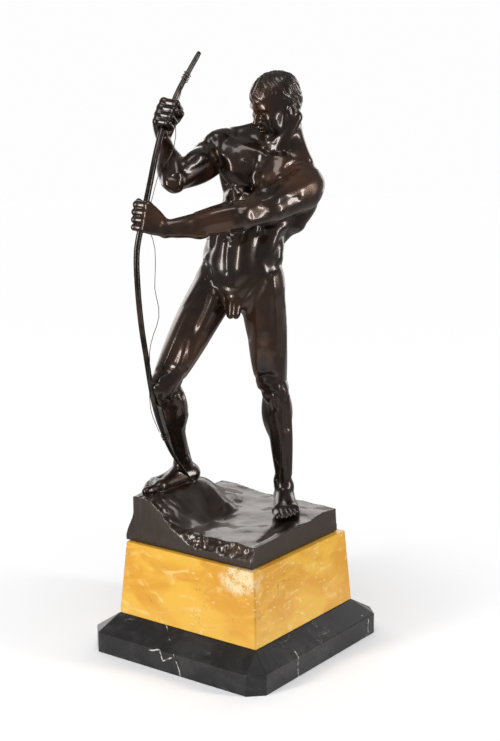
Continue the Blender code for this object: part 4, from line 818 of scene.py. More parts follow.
def limb(clay, u, f):
    """Upper arm bone u and forearm bone f with their muscles."""
    clay.roll(u.at(0), u.at(1), 11.5, 8.8, 1.4, blend=4)
    clay.ball(u.at(0.04, -0.5, 2), (13.8, 13.8, 14.5), u, 4)
    clay.roll(u.at(0, 7.5, 1), u.at(0.52, 3, 7.5), 7, 3.5, 4, blend=2.5)
    clay.roll(u.at(-0.02, 1, 6.5), u.at(0.54, 0, 8.5), 7.5, 3.5, 4, blend=2.5)
    clay.roll(u.at(0, -7.5, 2), u.at(0.5, -3, 7.5), 7, 3.5, 3.6, blend=2.5)
    clay.roll(u.at(0.2, 6.5, -2), u.at(0.98, 5, -1), 5.6, 3.8, 3.8, blend=2)
    clay.roll(u.at(0.26, 6.5, 2), u.at(0.96, 5, 0.5), 5, 3.4, 3.4, blend=2)
    clay.roll(u.at(0.08, -9, -3), u.at(0.88, -7, -2), 7.4, 4.2, 4, blend=2.5)
    clay.roll(u.at(0.14, -8.5, 4), u.at(0.8, -7, 2.5), 6.6, 3.8, 3.8, blend=2.5)
    clay.ball(u.at(0.6, 8, 0), (8, 6.5, 13), u, 3)
    clay.roll(u.at(0.5, 0.5, 5), u.at(0.98, 2, 4.5), 4, 3.6, 1, blend=2)
    # elbow
    clay.ball(f.at(-0.04, -5.5, 0), (4.6, 4.4, 5.2), f, 2)
    clay.ball(u.at(1, 0, -5.5), (3.8, 4, 4.4), u, 2)
    # forearm
    clay.roll(f.at(0), f.at(1), 9.6, 6.2, 1.6, blend=3)
    clay.roll(u.at(0.78, 2, 6.5), f.at(0.58, 1.5, 6), 5.4, 3.6, 3.4, blend=2)
    clay.roll(f.at(0.02, 2.5, -6), f.at(0.7, 3, -3.4), 6.2, 3.6, 3.4, blend=2)
    clay.roll(f.at(0.06, -5, 3.4), f.at(0.74, -3.4, 2), 5.8, 3.4, 3, blend=2)
    clay.roll(f.at(0.05, -5, -3), f.at(0.9, -2.6, -3.4), 4, 2.4, 1.4, blend=2)
    clay.roll(f.at(0.62, 0, 2.6), f.at(1.04, 0, 3.4), 4.2, 4, blend=3)
    clay.roll(f.at(0.62, 0, -2.6), f.at(1.04, -0.6, -3.2), 4.2, 3.9, blend=3)


def fist(clay, wrist, grip, knuckle, bend, last, tip, thumb):
    """Four fingers and a thumb closed round the bow. Places are pairs of k and n."""
    w = np.array(wrist, float)
    for i in range(4):
        u = 9.6 - 6.3 * i
        r = 3.5 - 0.18 * i
        size = (1, 1.05, 1, 0.9)[i]
        a, b, c, d = (grip.at(k * size, n * size, u) for k, n in (knuckle, bend, last, tip))
        clay.roll(w + (a - w) * 0.12 + grip.u * (1.5 - i), a, 4.2, 3.9, 0.8, blend=3)
        clay.ball(a, (r + 0.5,) * 3, grip, 0.9)
        clay.roll(a, b, r, r * 0.94, 0.15, blend=0.7)
        clay.ball(b, (r * 1.02,) * 3, grip, 0.6)
        clay.roll(b, c, r * 0.92, r * 0.86, 0.1, blend=0.7)
        clay.roll(c, d, r * 0.86, r * 0.72, 0.1, blend=0.7)
    points = [w + (grip.at(*thumb[0]) - w) * 0.15] + [grip.at(*p) for p in thumb]
    for a, b, r0, r1 in zip(points, points[1:], (5, 4, 3.5), (4, 3.5, 3)):
        clay.roll(a, b, r0, r1, 0.2, blend=1.2)


def neck_and_head(clay, trunk, head, arm):
    at = head.at
    clay.roll(trunk.at(118, 0, -3), at(0, -5.5, -12), 16.5, 13.6, blend=6)
    for s in (LEFT, RIGHT):
        clay.roll(trunk.at(121, s * 4, 10), at(s * 15, -8, -14), 4, 5.6, 1.2, blend=4)
        clay.roll(at(s * 3, -9, -16), arm[s].at(-0.1, 0, 4), 5, 9, -1.6, blend=7)
        clay.roll(at(s * 4, -7, -20), (trunk.at(120, s * 12, 2) + arm[s].at(-0.05)) / 2, 6.5, 9, blend=6)
    clay.roll(trunk.at(123, 0, 9), at(0, 4, -22), 5, 5, blend=3)
    clay.ball(at(0, -1.5, 7.4), (18.4, 22, 18.4), head, 4)
    clay.ball(at(0, -9, 0), (16.5, 15, 17), head, 4)
    clay.ball(at(0, 8, -5), (14.8, 13, 20), head, 4)
    # jaw, cheeks, brow and chin
    for s in (LEFT, RIGHT):
        clay.roll(at(s * 13.6, -2, -13), at(s * 4, 15.5, -24), 4.4, 4, 0.4, blend=3)
        clay.roll(at(s * 14, -3, -6), at(s * 13.4, -2, -13), 4, 4.4, blend=3)
        clay.ball(at(s * 10.4, 13, -6.4), (5, 5.5, 4), head, 3)
        clay.ball(at(s * 8.6, 11.5, -13.5), (6, 5.6, 8), head, 4)
        clay.roll(at(s * 1.6, 19, 2.2), at(s * 10.5, 16.2, 2.8), 2.4, 2.4, 0.5, blend=2)
    clay.ball(at(0, 16.4, -24), (5.2, 4.2, 4), head, 2.5)
    clay.ball(at(0, 14.5, -16), (8.5, 6, 6.5), head, 3)
    # eyes, nose, lips and ears
    for s in (LEFT, RIGHT):
        clay.ball(at(s * 6.6, 21, -1.8), (4.2, 4.4, 3.2), head, 2, True)
        clay.ball(at(s * 6.6, 15.6, -2.2), (3.7, 3.6, 3.2), head, 0.6)
        clay.roll(at(s * 3.4, 18.2, -1.6), at(s * 10, 16.2, -1.6), 0.9, 0.9, 0.5, blend=0.8)
    clay.roll(at(0, 18.6, 1), at(0, 23.4, -8.6), 1.9, 2.6, blend=1.6)
    clay.ball(at(0, 23.2, -9.2), (2.9, 2.8, 2.5), head, 1.2)
    for s in (LEFT, RIGHT):
        clay.ball(at(s * 2.9, 21, -9.8), (2, 2.4, 1.9), head, 1)
        clay.roll(at(s * 0.5, 20.9, -14.6), at(s * 5.2, 18.4, -15.2), 1.4, 0.9, 0.2, blend=0.9)
        clay.roll(at(s * 0.5, 20.4, -17.6), at(s * 4.4, 18.4, -16.8), 1.6, 1, 0.2, blend=0.9)
        clay.ball(at(s * 17.6, -4, -6), (2.2, 4.4, 6.6), head, 1.2)
        clay.ball(at(s * 19.6, -3, -5.5), (1.2, 2.3, 4.2), head, 1, True)
    clay.roll(at(-4.6, 20.4, -16.1), at(4.6, 20.4, -16.1), 0.5, 0.5, blend=0.8, cut=True)
    # cropped hair as a thin cap over the skull
    clay.ball(at(0, -2.8, 8.4), (19, 21.4, 17.6), head, 0.6)


def archer():
    """The whole figure in clay."""
    clay = Clay(GRID_LOW, GRID_HIGH, CLAY_STEP)
    trunk = Trunk()
    upper = {}
    for s, front in ((LEFT, (-0.45, -0.4, 0.8)), (RIGHT, (0.3, -0.2, 0.9))):
        upper[s] = Bone(JOINTS["shoulder"][s], JOINTS["elbow"][s], front, s)
    torso(clay, trunk, upper)
    fronts = {
        LEFT: ((0, 1, 0.1), (-0.25, -0.97, 0), (-0.12, -0.97, 0), (0.02, -1, 0), (0, 0, 1)),
        RIGHT: ((1, 0.3, 0), (-0.45, -0.89, 0.3), (-0.5, -0.85, 0), (-0.76, -0.65, -0.05), (-0.04, 0, 1)),
    }
    # the far arm, seen from its outer side: a heavy shoulder that tapers to the elbow
    clay.roll((56, -13, 316), (29, -41, 306), 18.6, 14.2, blend=5)
    clay.roll((29, -41, 306), JOINTS["elbow"][LEFT], 14.2, 12.2, blend=3)
    clay.roll((2, -56.5, 294.5), (-30, -58.5, 287.5), 9.5, 7.6, blend=5)
    clay.roll((-30, -58.5, 287.5), (-48, -59.5, 286.6), 7.6, 6.4, blend=5)
    for s, (inner, knee, shin, toes, up) in fronts.items():
        thigh = Bone(JOINTS["hip"][s], JOINTS["knee"][s], knee, s)
        outward = 2.2 if s == LEFT else 0
        lower = Bone(np.add(JOINTS["knee"][s], (outward, 0, -1)), JOINTS["ankle"][s], shin, s)
        leg(clay, thigh, lower)
        foot(clay, JOINTS["ankle"][s], toes, up, s)
        limb(clay, upper[s], Bone(JOINTS["elbow"][s], JOINTS["wrist"][s], inner, s))
    neck_and_head(clay, trunk, HEAD, upper)
    # each fist: where it holds the bow, then knuckles, finger joints and fingertips, then the thumb
    fist(
        clay, JOINTS["wrist"][RIGHT], Grip(bow_at(378)[0], (0.339, 0.47, 0.814), (0.9, -0.3, 0), RIGHT),
        (6, -5.5), (6.5, 6.5), (-2, 7), (-5, 3), ((-13, -1, 1), (-7, 5, 2.6), (-0.5, 10.5, 5)),
    )
    fist(
        clay, JOINTS["wrist"][LEFT], Grip(bow_at(296.5)[0], (0.142, 0.205, 0.968), (0.1, 0.97, -0.2), LEFT),
        (-4, -7), (6, -4.6), (5.2, 5.5), (-1.5, 6.5), ((-11, 1, 4), (-2, 7, 7.4), (6.5, 4.5, 13)),
    )
    for line in BODY_LINES.values():
        clay.stroke(EYE, *line)
    for line in BACK_LINES.values():
        clay.stroke(EYE_BEHIND, *line)
    return clay


# The ground's sides, along its own two directions; its middle lies a little left of and before the block's
GROUND_WIDTH = 140.6
GROUND_DEPTH = 133.3
GROUND_LEFT = 4.3
GROUND_FRONT = 0.8
WALL_LEFT = -GROUND_WIDTH / 2 - GROUND_LEFT
WALL_RIGHT = GROUND_WIDTH / 2 - GROUND_LEFT
WALL_FRONT = -GROUND_DEPTH / 2 - GROUND_FRONT
WALL_BACK = GROUND_DEPTH / 2 - GROUND_FRONT
ROUGH_REACH = 4.0


def soft(value, low, high):
    """Nought below low, one above high and a smooth climb between."""
    t = np.clip((value - low) / (high - low), 0, 1)
    return t * t * (3 - 2 * t)


def ground_height(x, y):
    """How high the ground's top is, and the broken slope that cuts it off in front; x and y run along its
    sides."""
    level = 18 + 3.6 * soft(y, WALL_FRONT, WALL_BACK)
    mound = 24.5 * (1 - soft(x, -52, -12)) * (1 - 0.86 * soft(y, 4, WALL_BACK - 13))
    along = np.clip((x + 50) / 42, 0, 1)
    ridge = (5.5 + 3 * along) * np.exp(-(((y - 12 + 9 * along) / 10.5) ** 2)) * (1 - soft(x, -14, -5))
    hollow = 2.6 * np.exp(-(((x + 12) / 17) ** 2) - ((y + 27) / 15) ** 2)
    valley = 1.5 * np.exp(-(((x - 53 - 0.13 * (3 - y)) / 4.5) ** 2))
    valley = valley * soft(y, WALL_FRONT, -40) * (1 - soft(y, 0, 14))
    waves = 0.5 * np.sin(0.16 * x + 0.9) * np.sin(0.13 * y + 0.07 * x)
    top = level + mound * (1 - 0.3 * soft(ridge, 0, 8)) + ridge - hollow - valley + waves
    edge = 6.4 + 39 / (1 + np.exp((x + 26) / 9.5)) + 1.5 * soft(x, 40, 66)
    crag = 0.9 * np.sin(0.55 * x) * np.sin(0.7 * y + 0.3 * x)
    slope = edge + (y - WALL_FRONT) * 1.7 + crag * soft(y, WALL_FRONT, WALL_FRONT + 7)
    return top, slope


def broken_rock(x, y):
    """How far the rock is broken: a wide patch below the mound, and a band along the front edge."""
    patch = np.exp(-(((x + 54) / 17) ** 2) - ((y + 52) / 15) ** 2)
    band = np.exp(-(((y + 66) / 6.5) ** 2)) * (1 - soft(x, 30, 62)) * 0.8
    return np.clip(patch + band, 0, 1)


def lumps(places, size):
    """Noise at these places, about size millimetres from lump to lump."""
    return np.array([noise.noise(p) for p in (places / size + size).tolist()], np.float32)


def press_ground(clay):
    """Presses the ground onto the clay: flat sides, an uneven top, and a broken front."""
    spans, (gx, gy, gz) = clay.window((GRID_LOW, GROUND_HIGH), 0)
    turn_cos = math.cos(TURN)
    turn_sin = math.sin(TURN)
    x = gx[:, :, 0] * turn_cos - gy[:, :, 0] * turn_sin
    y = gx[:, :, 0] * turn_sin + gy[:, :, 0] * turn_cos
    top, slope = ground_height(x, y)
    rough = np.clip(broken_rock(x, y) + 0.6 * soft(top - slope, 0, 3), 0, 1)
    height = np.minimum(top, slope)
    slant_x = np.gradient(height, clay.step, axis=0)
    slant_y = np.gradient(height, clay.step, axis=1)
    steep = np.sqrt(1 + slant_x**2 + slant_y**2)
    distance = (gz - height[:, :, None]) / steep[:, :, None]
    near = np.nonzero(np.abs(distance) < ROUGH_REACH)
    places = np.stack([x[near[:2]], y[near[:2]], gz[0, 0, near[2]]], axis=1)
    coarse = lumps(places, 6.0)
    fine = lumps(places, 2.4)
    relief = 0.8 * lumps(places, 17.0) + 0.14 * coarse + 0.03 * fine
    relief += rough[near[:2]] * (1.5 * coarse + 0.8 * np.abs(coarse) + 0.5 * fine - 0.3)
    distance[near] -= relief
    lean_left = 8.6 * soft(gz, 3, 29)
    lean_right = 1.4 * soft(gz, 0, 20)
    for wall in (
        x[:, :, None] - WALL_RIGHT + lean_right,
        WALL_LEFT + lean_left - x[:, :, None],
        WALL_FRONT - y[:, :, None],
        y[:, :, None] - WALL_BACK,
        -gz,
    ):
        distance = np.maximum(distance, wall)
    clay.merge(spans, distance.astype(np.float32), 1.6, False)


def hair_cover(side, front, up):
    """How far hair covers a place of the head; the hairline runs over the brow, down the temples, behind the
    ears and across the nape."""
    line = 9.5 - 0.08 * front * (front > 0) + 0.012 * side**2
    line = np.where(front < 4, 9.5 - 1.05 * (4 - front), line)
    line = np.maximum(line, -11)
    skull = np.sqrt((side / 20.5) ** 2 + ((front + 2) / 23.5) ** 2 + ((up - 6) / 21.5) ** 2)
    return soft(up - line, -0.6, 1.6) * (1 - soft(skull, 1.06, 1.2)) * soft(skull, 0.72, 0.84)


def comb_hair(clay, head):
    """Short combed locks over the skull, as fine waves in the clay that run from the crown."""
    spans, grid = clay.window((head.at(0, -3, 8),), 27)
    p = [g - v for g, v in zip(grid, head.origin)]
    side, front, up = (sum(v * np.float32(w) for v, w in zip(p, axis)) for axis in head.axes)
    turn = np.arctan2(side, front + 9)
    swirl = 15 * turn + 0.42 * up + 0.9 * np.sin(0.5 * up + 2.2 * turn)
    lock = np.sin(swirl * 1.5) + 0.45 * np.sin(swirl * 3.4 + 0.4 * front)
    clump = np.sin(0.55 * front + 1.3 * np.sin(0.35 * side)) * np.sin(0.5 * side + 0.3 * up)
    relief = hair_cover(side, front, up) * (0.66 + 0.36 * lock + 0.40 * clump)
    clay.field[spans] -= relief.astype(np.float32)


def drop_crumbs(bm):
    """Deletes all but the largest piece, because small crumbs of clay can hang loose beside it."""
    left = set(bm.verts)
    pieces = []
    while left:
        piece = {left.pop()}
        border = list(piece)
        while border:
            vert = border.pop()
            for edge in vert.link_edges:
                other = edge.other_vert(vert)
                if other in left:
                    left.discard(other)
                    piece.add(other)
                    border.append(other)
        pieces.append(piece)
    for piece in sorted(pieces, key=len)[:-1]:
        bmesh.ops.delete(bm, geom=list(piece), context="VERTS")


def casting_mesh():
    """The whole casting as one fine mesh in the row frame."""
    clay = archer()
    comb_hair(clay, HEAD)
    press_ground(clay)
    points, faces = clay.skin()
    mesh = bpy.data.meshes.new("casting")
    mesh.from_pydata(points.tolist(), [], faces.tolist())
    rough_cast = bpy.data.objects.new("casting", mesh)
    bpy.context.scene.collection.objects.link(rough_cast)
    thin = rough_cast.modifiers.new("Fewer faces", "DECIMATE")
    thin.ratio = min(1.0, CASTING_FACES / (2 * len(faces)))
    graph = bpy.context.evaluated_depsgraph_get()
    cast = bpy.data.meshes.new_from_object(rough_cast.evaluated_get(graph))
    bpy.data.objects.remove(rough_cast)
    bpy.data.meshes.remove(mesh)
    bm = bmesh.new()
    bm.from_mesh(cast)
    drop_crumbs(bm)
    bm.to_mesh(cast)
    bm.free()
    cast.transform(ON_BLOCK)
    cast.polygons.foreach_set("use_smooth", [True] * len(cast.polygons))
    return cast


PATINA = (0.0100, 0.0062, 0.0048)
PATINA_BROWN = (0.030, 0.0155, 0.0100)
PATINA_WARM = (0.085, 0.034, 0.015)
SHEEN_TINT = (1.0, 0.94, 0.89)
MATT_SIDE = (0.040, 0.034, 0.030)
MATT_SIDE_ROUGH = 0.50
GROUND_MATT = 0.3
# bright bronze for rubbed wear, also painted as a highlight along the top edge of the flat sides
RUBBED_AND_HIGHLIGHT = (0.33, 0.22, 0.12)
# Where handling warmed the brown, in the row frame, and how far round it: left thigh and knee, right
# thigh, left wrist and elbow, breast, left shoulder, right forearm and cheek
WARM_PLACES = (
    ((0.005, -0.018, 0.275), 0.042), ((0.016, -0.004, 0.235), 0.022), ((-0.043, -0.02, 0.275), 0.030),
    ((-0.005, -0.075, 0.392), 0.028), ((0.02, -0.045, 0.40), 0.028), ((-0.018, -0.022, 0.42), 0.024),
    ((0.052, 0.01, 0.425), 0.022), ((-0.05, -0.045, 0.447), 0.018), ((0.02, -0.012, 0.487), 0.018),
)


def mark_finish(mesh):
    """Marks on the mesh where it was filed flat and left matt, where handling warmed its brown, where its
    edges are rubbed bright, where a highlight is painted along the top edge of the flat sides, and where
    there is hair."""

    def read(key):
        values = np.empty(len(mesh.vertices) * 3, np.float32)
        mesh.vertices.foreach_get(key, values)
        return values.reshape(-1, 3)

    places = read("co")
    tilt = read("normal")[:, 2]
    level = (places[:, 2] - ROCK_BASE) / UNIT
    x = places[:, 0] / UNIT
    y = places[:, 1] / UNIT
    # the flat sides are matt, and the ground's top is a little, but not where the rock is broken
    rim = np.maximum.reduce([
        np.abs(x + GROUND_LEFT) - GROUND_WIDTH / 2 + 9 * soft(level, 8, 24),
        np.abs(y + GROUND_FRONT) - GROUND_DEPTH / 2,
    ])
    matt = (1 - soft(np.abs(tilt), 0.30, 0.55)) * soft(rim, -2.6, -1.0) * (1 - soft(level, 44, 50))
    above = level - np.minimum(*ground_height(x, y))
    ground = (1 - soft(above, 1.0, 2.5)) * (1 - broken_rock(x, y))
    matt = np.maximum(matt, GROUND_MATT * ground)
    warm = np.zeros(len(places))
    for centre, size in WARM_PLACES:
        step = (places - np.array(centre)) / size
        warm = np.maximum(warm, np.exp(-np.sum(step * step, axis=1)))
    # a highlight painted along the top edge of the flat sides, and the front corner and the broken edge
    # beside it rubbed bright
    rubbed = soft(rim, -3.2, -1.2) * soft(tilt, 0.2, 0.5) * (1 - soft(tilt, 0.78, 0.95))
    rubbed = rubbed * soft(level, 3, 6) * (1 - soft(level, 46, 50))
    corner = np.hypot(x - WALL_RIGHT, y - WALL_FRONT)
    rubbed = np.maximum(rubbed, 0.9 * (1 - soft(corner, 1.4, 3.0)) * soft(level, 1, 5))
    pale = np.exp(-(((x - 48) / 8) ** 2) - ((y + 64) / 4) ** 2)
    rubbed = np.maximum(rubbed, 0.8 * pale * (1 - matt))
    off_block = np.array(ON_BLOCK.inverted())
    own = places @ off_block[:3, :3].T + off_block[:3, 3]
    hair = hair_cover(*(HEAD.axes @ (own - HEAD.origin).T))
    for name, values in (("matt", matt), ("warm", warm), ("rubbed", rubbed), ("hair", hair)):
        layer = mesh.attributes.new(name, "FLOAT", "POINT")
        layer.data.foreach_set("value", values.astype(np.float32))


def patinated_bronze():
    metal = Recipe("patinated_bronze")
    matt = metal.painted("matt")
    warm = metal.times(metal.painted("warm"), metal.band(metal.noise(26, 5, 0.58, 0.6), 0.30, 0.62))
    colour = metal.mix(metal.band(metal.noise(38, 4, 0.55), 0.40, 0.68), PATINA, PATINA_BROWN)
    colour = metal.mix(warm, colour, PATINA_WARM)
    # rubbed bright on sharp edges and marked places, with a painted highlight on the flat sides' top edge
    sharp = metal.node("NewGeometry", 7)
    worn_and_highlight = metal.times(metal.band(sharp, 0.545, 0.62), metal.band(metal.noise(85, 4), 0.42, 0.62))
    rubbed = metal.times(metal.painted("rubbed"), metal.band(metal.noise(130, 4), 0.36, 0.58))
    worn_and_highlight = metal.math("MAXIMUM", worn_and_highlight, rubbed)
    colour = metal.mix(metal.times(worn_and_highlight, 0.45), colour, RUBBED_AND_HIGHLIGHT)
    colour = metal.mix(matt, colour, metal.mix(metal.noise(60, 5, 0.6), PATINA_BROWN, MATT_SIDE))
    rough = metal.blend(metal.noise(70, 5, 0.6), 0.24, 0.36)
    rough = metal.blend(matt, rough, MATT_SIDE_ROUGH)
    # the skin is a little uneven and grained, and the hair is chased
    grain = metal.times(metal.noise(1500, 3, 0.6), 0.10)
    skin = metal.math("ADD", metal.times(metal.noise(110, 3, 0.5), 0.9), grain)
    chased = metal.times(metal.painted("hair"), metal.blend(metal.noise(420, 4, 0.55, 0.8), 0, 2.6))
    skin = metal.math("ADD", skin, chased)
    return metal.finish(
        Base_Color=colour, Roughness=rough, Metallic=0.5, Normal=metal.bump(skin, 0.0003, 0.5),
        Coat_Weight=0.45, Coat_Roughness=0.08, Coat_Tint=SHEEN_TINT, Specular_IOR_Level=0.5,
        Specular_Tint=SHEEN_TINT,
    )


casting = casting_mesh()
mark_finish(casting)
dress("archer_and_ground", casting, patinated_bronze(), "bronze", "bronze_archer")


# Bow
# A bronze bar bent to the bow's curve, drawn with two fine ridges along it, thickest between the
# fists and running out thin at its foot; its tip is blunt. It is held in both fists.
BOW_SIDES = 32
BOW_STEPS = 6
BOW_FACE = (0.75, -0.66, 0)
TIP_SWELL = 0.07
HOLLOW = 0.11
BOW_DARK = (0.018, 0.014, 0.012)
BOW_WORN = (0.075, 0.055, 0.043)


def bow_bar():
    """Rings along the bow's middle line, joined into a bar with a blunt cap at each end."""
    run = smooth_run(BOW, BOW_STEPS)
    bm = bmesh.new()
    rings = []
    for i, place in enumerate(run):
        ahead = Vector(run[min(i + 1, len(run) - 1)] - run[max(i - 1, 0)]).normalized()
        side = Vector(BOW_FACE).cross(ahead).normalized()
        stand = Matrix((side, ahead.cross(side), ahead)).transposed().to_4x4()
        stand.translation = Vector(place)
        radius = bow_at(place[2])[1] * (1 + TIP_SWELL * math.exp(-((i - 2) / 2.0) ** 2))
        made = bmesh.ops.create_circle(bm, segments=BOW_SIDES, radius=radius, matrix=stand)
        ring = made["verts"]
        for k, vert in enumerate(ring):
            # two ridges with a shallow hollow between them on the front and the back
            flute = 1 - HOLLOW * math.cos(2 * math.pi * k / BOW_SIDES) ** 4
            vert.co = Vector(place) + (vert.co - Vector(place)) * flute
        rings.append([e for e in bm.edges if e.verts[0] in ring and e.verts[1] in ring])
    for low_ring, high_ring in zip(rings, rings[1:]):
        bmesh.ops.bridge_loops(bm, edges=low_ring + high_ring)
    for end in (rings[0], rings[-1]):
        cap = bmesh.ops.contextual_create(bm, geom=end)["faces"]
        bmesh.ops.inset_region(bm, faces=cap, thickness=0.25, depth=0.12)
    bmesh.ops.transform(bm, matrix=ON_BLOCK, verts=bm.verts)
    return closed_mesh(bm, "bow")


def bow_metal():
    metal = Recipe("bow_bronze")
    colour = metal.mix(metal.band(metal.noise(60, 4), 0.4, 0.7), BOW_DARK, BOW_WORN)
    return metal.finish(
        Base_Color=colour, Roughness=metal.blend(metal.noise(60, 3), 0.24, 0.32), Metallic=0.75,
        Coat_Weight=0.2, Coat_Roughness=0.12,
    )


dress("bow_bar", bow_bar(), bow_metal(), "bow_bronze", "bow")


# Bowstring and its knots
# A fine bronze wire that hangs beside the bow and passes through both fists. Each end is wound round
# the bow and twisted off in a small loop.
STRING = 0.00032
STRING_POINTS = 40
STRING_DARK = (0.05, 0.040, 0.033)
STRING_LIGHT = (0.12, 0.09, 0.07)
# The string's height and how far it lies to the right of the bow and towards the viewer
STRING_RUN = (
    (405, -0.8, 3.4), (399, 2.4, 2.8), (391, 3.7, 0.4), (381, 4.4, 0), (372, 9.2, 3),
    (359, 13.5, 3), (346, 12.6, 1), (334, 6.3, 0), (321, 4.8, 0), (309, 4.2, 0), (297, 3.6, 0),
    (288, 5.4, 0), (280, 10.7, 0), (270, 14.9, 0), (252, 15.1, 0), (236, 14.3, 0), (220, 16.2, 0),
    (208, 14.7, 0), (194, 8.4, 0), (181, 3.9, 1.5), (166, 2.0, 3.2), (150, -0.6, 3.6),
    (134, -3.0, 2.2), (121, -4.6, 0), (111, -3.8, 0), (101, -3.0, 1.4),
)
# Each knot from the height of its top to that of its bottom, which way its loop turns, and its node
KNOTS = {
    "knot_upper": (414.0, 407.3, 1, "nock_winding_upper"),
    "knot_lower": (98.6, 92.4, -1, "nock_winding_lower"),
}
KNOT_WIRE = STRING * 1.1
KNOT_TURNS = 3.0
KNOT_STEPS = 46
KNOT_GAP = 0.25
KNOT_UNEVEN = 0.5
LOOP_STEPS = 11
LOOP_REACH = 1.5
LOOP_HEIGHT = 1.3


def wire_curve(name, points, thickness):
    """A round wire through these points of the row frame."""
    curve = bpy.data.curves.new(name, "CURVE")
    curve.dimensions = "3D"
    curve.bevel_depth = thickness
    curve.bevel_resolution = 2
    curve.use_fill_caps = True
    spline = curve.splines.new("POLY")
    spline.points.add(len(points) - 1)
    for dot, place in zip(spline.points, points):
        dot.co = (*place, 1)
    return curve


def string_metal():
    metal = Recipe("string_bronze")
    colour = metal.mix(metal.noise(90, 3), STRING_DARK, STRING_LIGHT)
    return metal.finish(Base_Color=colour, Roughness=0.34, Metallic=0.8)


def knot_mesh(top, bottom, loop):
    """The string's end wound round the bow, then twisted out to one side in a loop."""
    points = []
    axis = Vector(bow_at(top)[0] - bow_at(bottom)[0]).normalized()
    side = axis.orthogonal().normalized()
    other = axis.cross(side)
    for k in range(KNOT_STEPS + 1):
        t = k / KNOT_STEPS
        place, radius = bow_at(top + (bottom - top) * t)
        angle = 2 * math.pi * KNOT_TURNS * t + 0.6
        reach = radius + KNOT_WIRE / UNIT + KNOT_GAP + KNOT_UNEVEN * math.sin(3.1 * angle) ** 2
        points.append(Vector(place) + reach * (side * math.cos(angle) + other * math.sin(angle)))
    last = points[-1].copy()
    away = (last - Vector(bow_at(bottom)[0])).normalized()
    for k in range(1, LOOP_STEPS):
        bend = 2 * math.pi * k / LOOP_STEPS
        out = away * LOOP_REACH * (1 - math.cos(bend))
        points.append(last + out + axis * loop * LOOP_HEIGHT * math.sin(bend))
    thing = bpy.data.objects.new("knot", wire_curve("knot", [ON_BLOCK @ p for p in points], KNOT_WIRE))
    bpy.context.scene.collection.objects.link(thing)
    graph = bpy.context.evaluated_depsgraph_get()
    mesh = bpy.data.meshes.new_from_object(thing.evaluated_get(graph))
    bpy.data.objects.remove(thing)
    bm = bmesh.new()
    bm.from_mesh(mesh)
    bmesh.ops.remove_doubles(bm, verts=bm.verts, dist=2e-6)
    return closed_mesh(bm, "knot")


wire_bronze = string_metal()
knots = [
    dress(name, knot_mesh(top, bottom, loop), wire_bronze, "string_bronze", node)
    for name, (top, bottom, loop, node) in KNOTS.items()
]
route = smooth_run([bow_at(h)[0] + np.array((out, -near, 0)) for h, out, near in STRING_RUN], 6)
travelled = [0.0]
for a, b in zip(route, route[1:]):
    travelled.append(travelled[-1] + float(np.linalg.norm(b - a)))
evenly = np.linspace(0, travelled[-1], STRING_POINTS)
route = [
    ON_BLOCK @ Vector([np.interp(s, travelled, [p[axis] for p in route]) for axis in range(3)])
    for s in evenly
]
string_length = sum((b - a).length for a, b in zip(route, route[1:]))
bowstring = bpy.data.objects.new("string_wire", wire_curve("string_wire", route, STRING))
bpy.context.scene.collection.objects.link(bowstring)
bowstring.data.materials.append(wire_bronze)
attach(bowstring, "root")
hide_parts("bowstring")
tuple(route[0])


# Floor, light and camera
# A white sweep, soft boxes above and at the sides with white boards behind, and the camera where the
# photograph was taken from.
CAMERA_TURN = 0.6294
CAMERA_PITCH = 0.21458
CAMERA_PLACE = (0.7836, -1.0558, 0.5402)
LENS = 73.463
SEEN = 0.985
REFLECTED = 0.30
PAPER = (0.93, 0.93, 0.94)
SWEEP_RADIUS = 4.0
SHADOW_REACH = 0.13
GLOW_REACH = 0.42


def floor_material():
    """White paper, lit evenly from below beyond the statue's own shadow."""
    sheet = Recipe("white_sweep")
    reach = sheet.vector("LENGTH", sheet.vector("MULTIPLY", sheet.place, (1, 1, 0)), out=1)
    glow = sheet.band(reach, SHADOW_REACH, GLOW_REACH)
    paper = sheet.mix(glow, PAPER, (0, 0, 0))
    seen = sheet.node("LightPath")
    return sheet.finish(
        Base_Color=paper, Roughness=0.75, Specular_IOR_Level=0.05, Emission_Color=(1, 1, 1),
        Emission_Strength=sheet.times(glow, sheet.blend(seen, REFLECTED, SEEN)),
    )


bm = bmesh.new()
bmesh.ops.create_circle(bm, cap_ends=True, segments=96, radius=SWEEP_RADIUS)
sweep_mesh = bpy.data.meshes.new("white_sweep")
bm.to_mesh(sweep_mesh)
bm.free()
sweep = bpy.data.objects.new("white_sweep", sweep_mesh)
bpy.context.scene.collection.objects.link(sweep)
sweep_mesh.materials.append(floor_material())

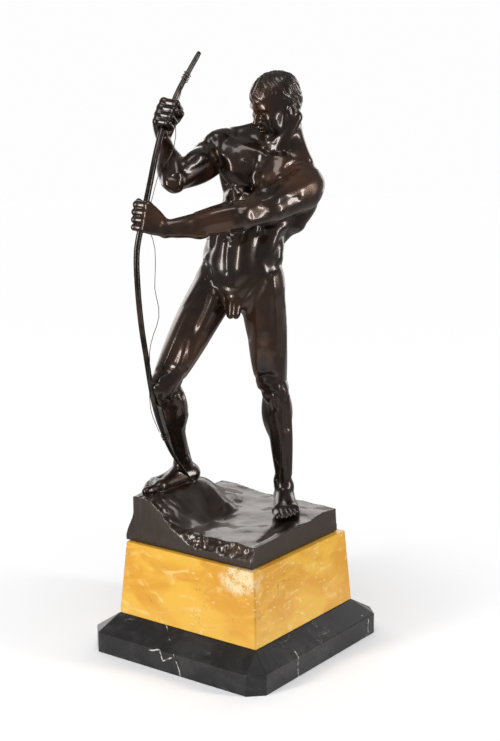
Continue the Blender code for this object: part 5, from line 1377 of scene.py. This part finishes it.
across = Vector((math.cos(CAMERA_TURN), math.sin(CAMERA_TURN), 0))
away = Vector((-math.sin(CAMERA_TURN), math.cos(CAMERA_TURN), 0))
SOFT_BOXES = {
    # how far to the right, how far away, height, watts, width and height of the box, height it looks at
    "key_box": (-1.02, -0.80, 0.50, 15, 0.22, 0.90, 0.45),
    "fill_box": (1.24, -0.40, 0.50, 12, 0.18, 0.90, 0.45),
    "top_box": (-0.10, -0.60, 1.75, 10, 0.9, 0.7, 0.3),
    "back_board": (0.0, 1.75, 0.85, 5, 1.3, 0.6, 0.1),
    "left_board": (-1.00, 1.45, 0.60, 7, 0.9, 1.2, 0.30),
    "right_board": (1.10, 1.40, 0.60, 7, 0.9, 1.2, 0.30),
}
for name, (right, back, up, watts, wide, high, aim) in SOFT_BOXES.items():
    light = bpy.data.lights.new(name, "AREA")
    light.energy = watts
    light.shape = "RECTANGLE"
    light.size = wide
    light.size_y = high
    stand = bpy.data.objects.new(name, light)
    stand.location = across * right + away * back + Vector((0, 0, up))
    stand.rotation_euler = (Vector((0, 0, aim)) - stand.location).to_track_quat("-Z", "Y").to_euler()
    bpy.context.scene.collection.objects.link(stand)

studio = bpy.data.worlds.new("studio")
bpy.context.scene.world = studio
studio.use_nodes = True
air = studio.node_tree.nodes["Background"]
air.inputs["Color"].default_value = (1, 1, 1, 1)
path = studio.node_tree.nodes.new("ShaderNodeLightPath")
glow = studio.node_tree.nodes.new("ShaderNodeMapRange")
glow.inputs["To Min"].default_value = REFLECTED
glow.inputs["To Max"].default_value = SEEN
studio.node_tree.links.new(path.outputs["Is Camera Ray"], glow.inputs["Value"])
studio.node_tree.links.new(glow.outputs[0], air.inputs["Strength"])

lens = bpy.data.cameras.new("camera")
lens.lens = LENS
camera = bpy.data.objects.new("camera", lens)
camera.location = CAMERA_PLACE
camera.rotation_euler = (math.pi / 2 - CAMERA_PITCH, 0, CAMERA_TURN)
bpy.context.scene.collection.objects.link(camera)
bpy.context.scene.camera = camera
bpy.context.scene.view_settings.view_transform = "Standard"
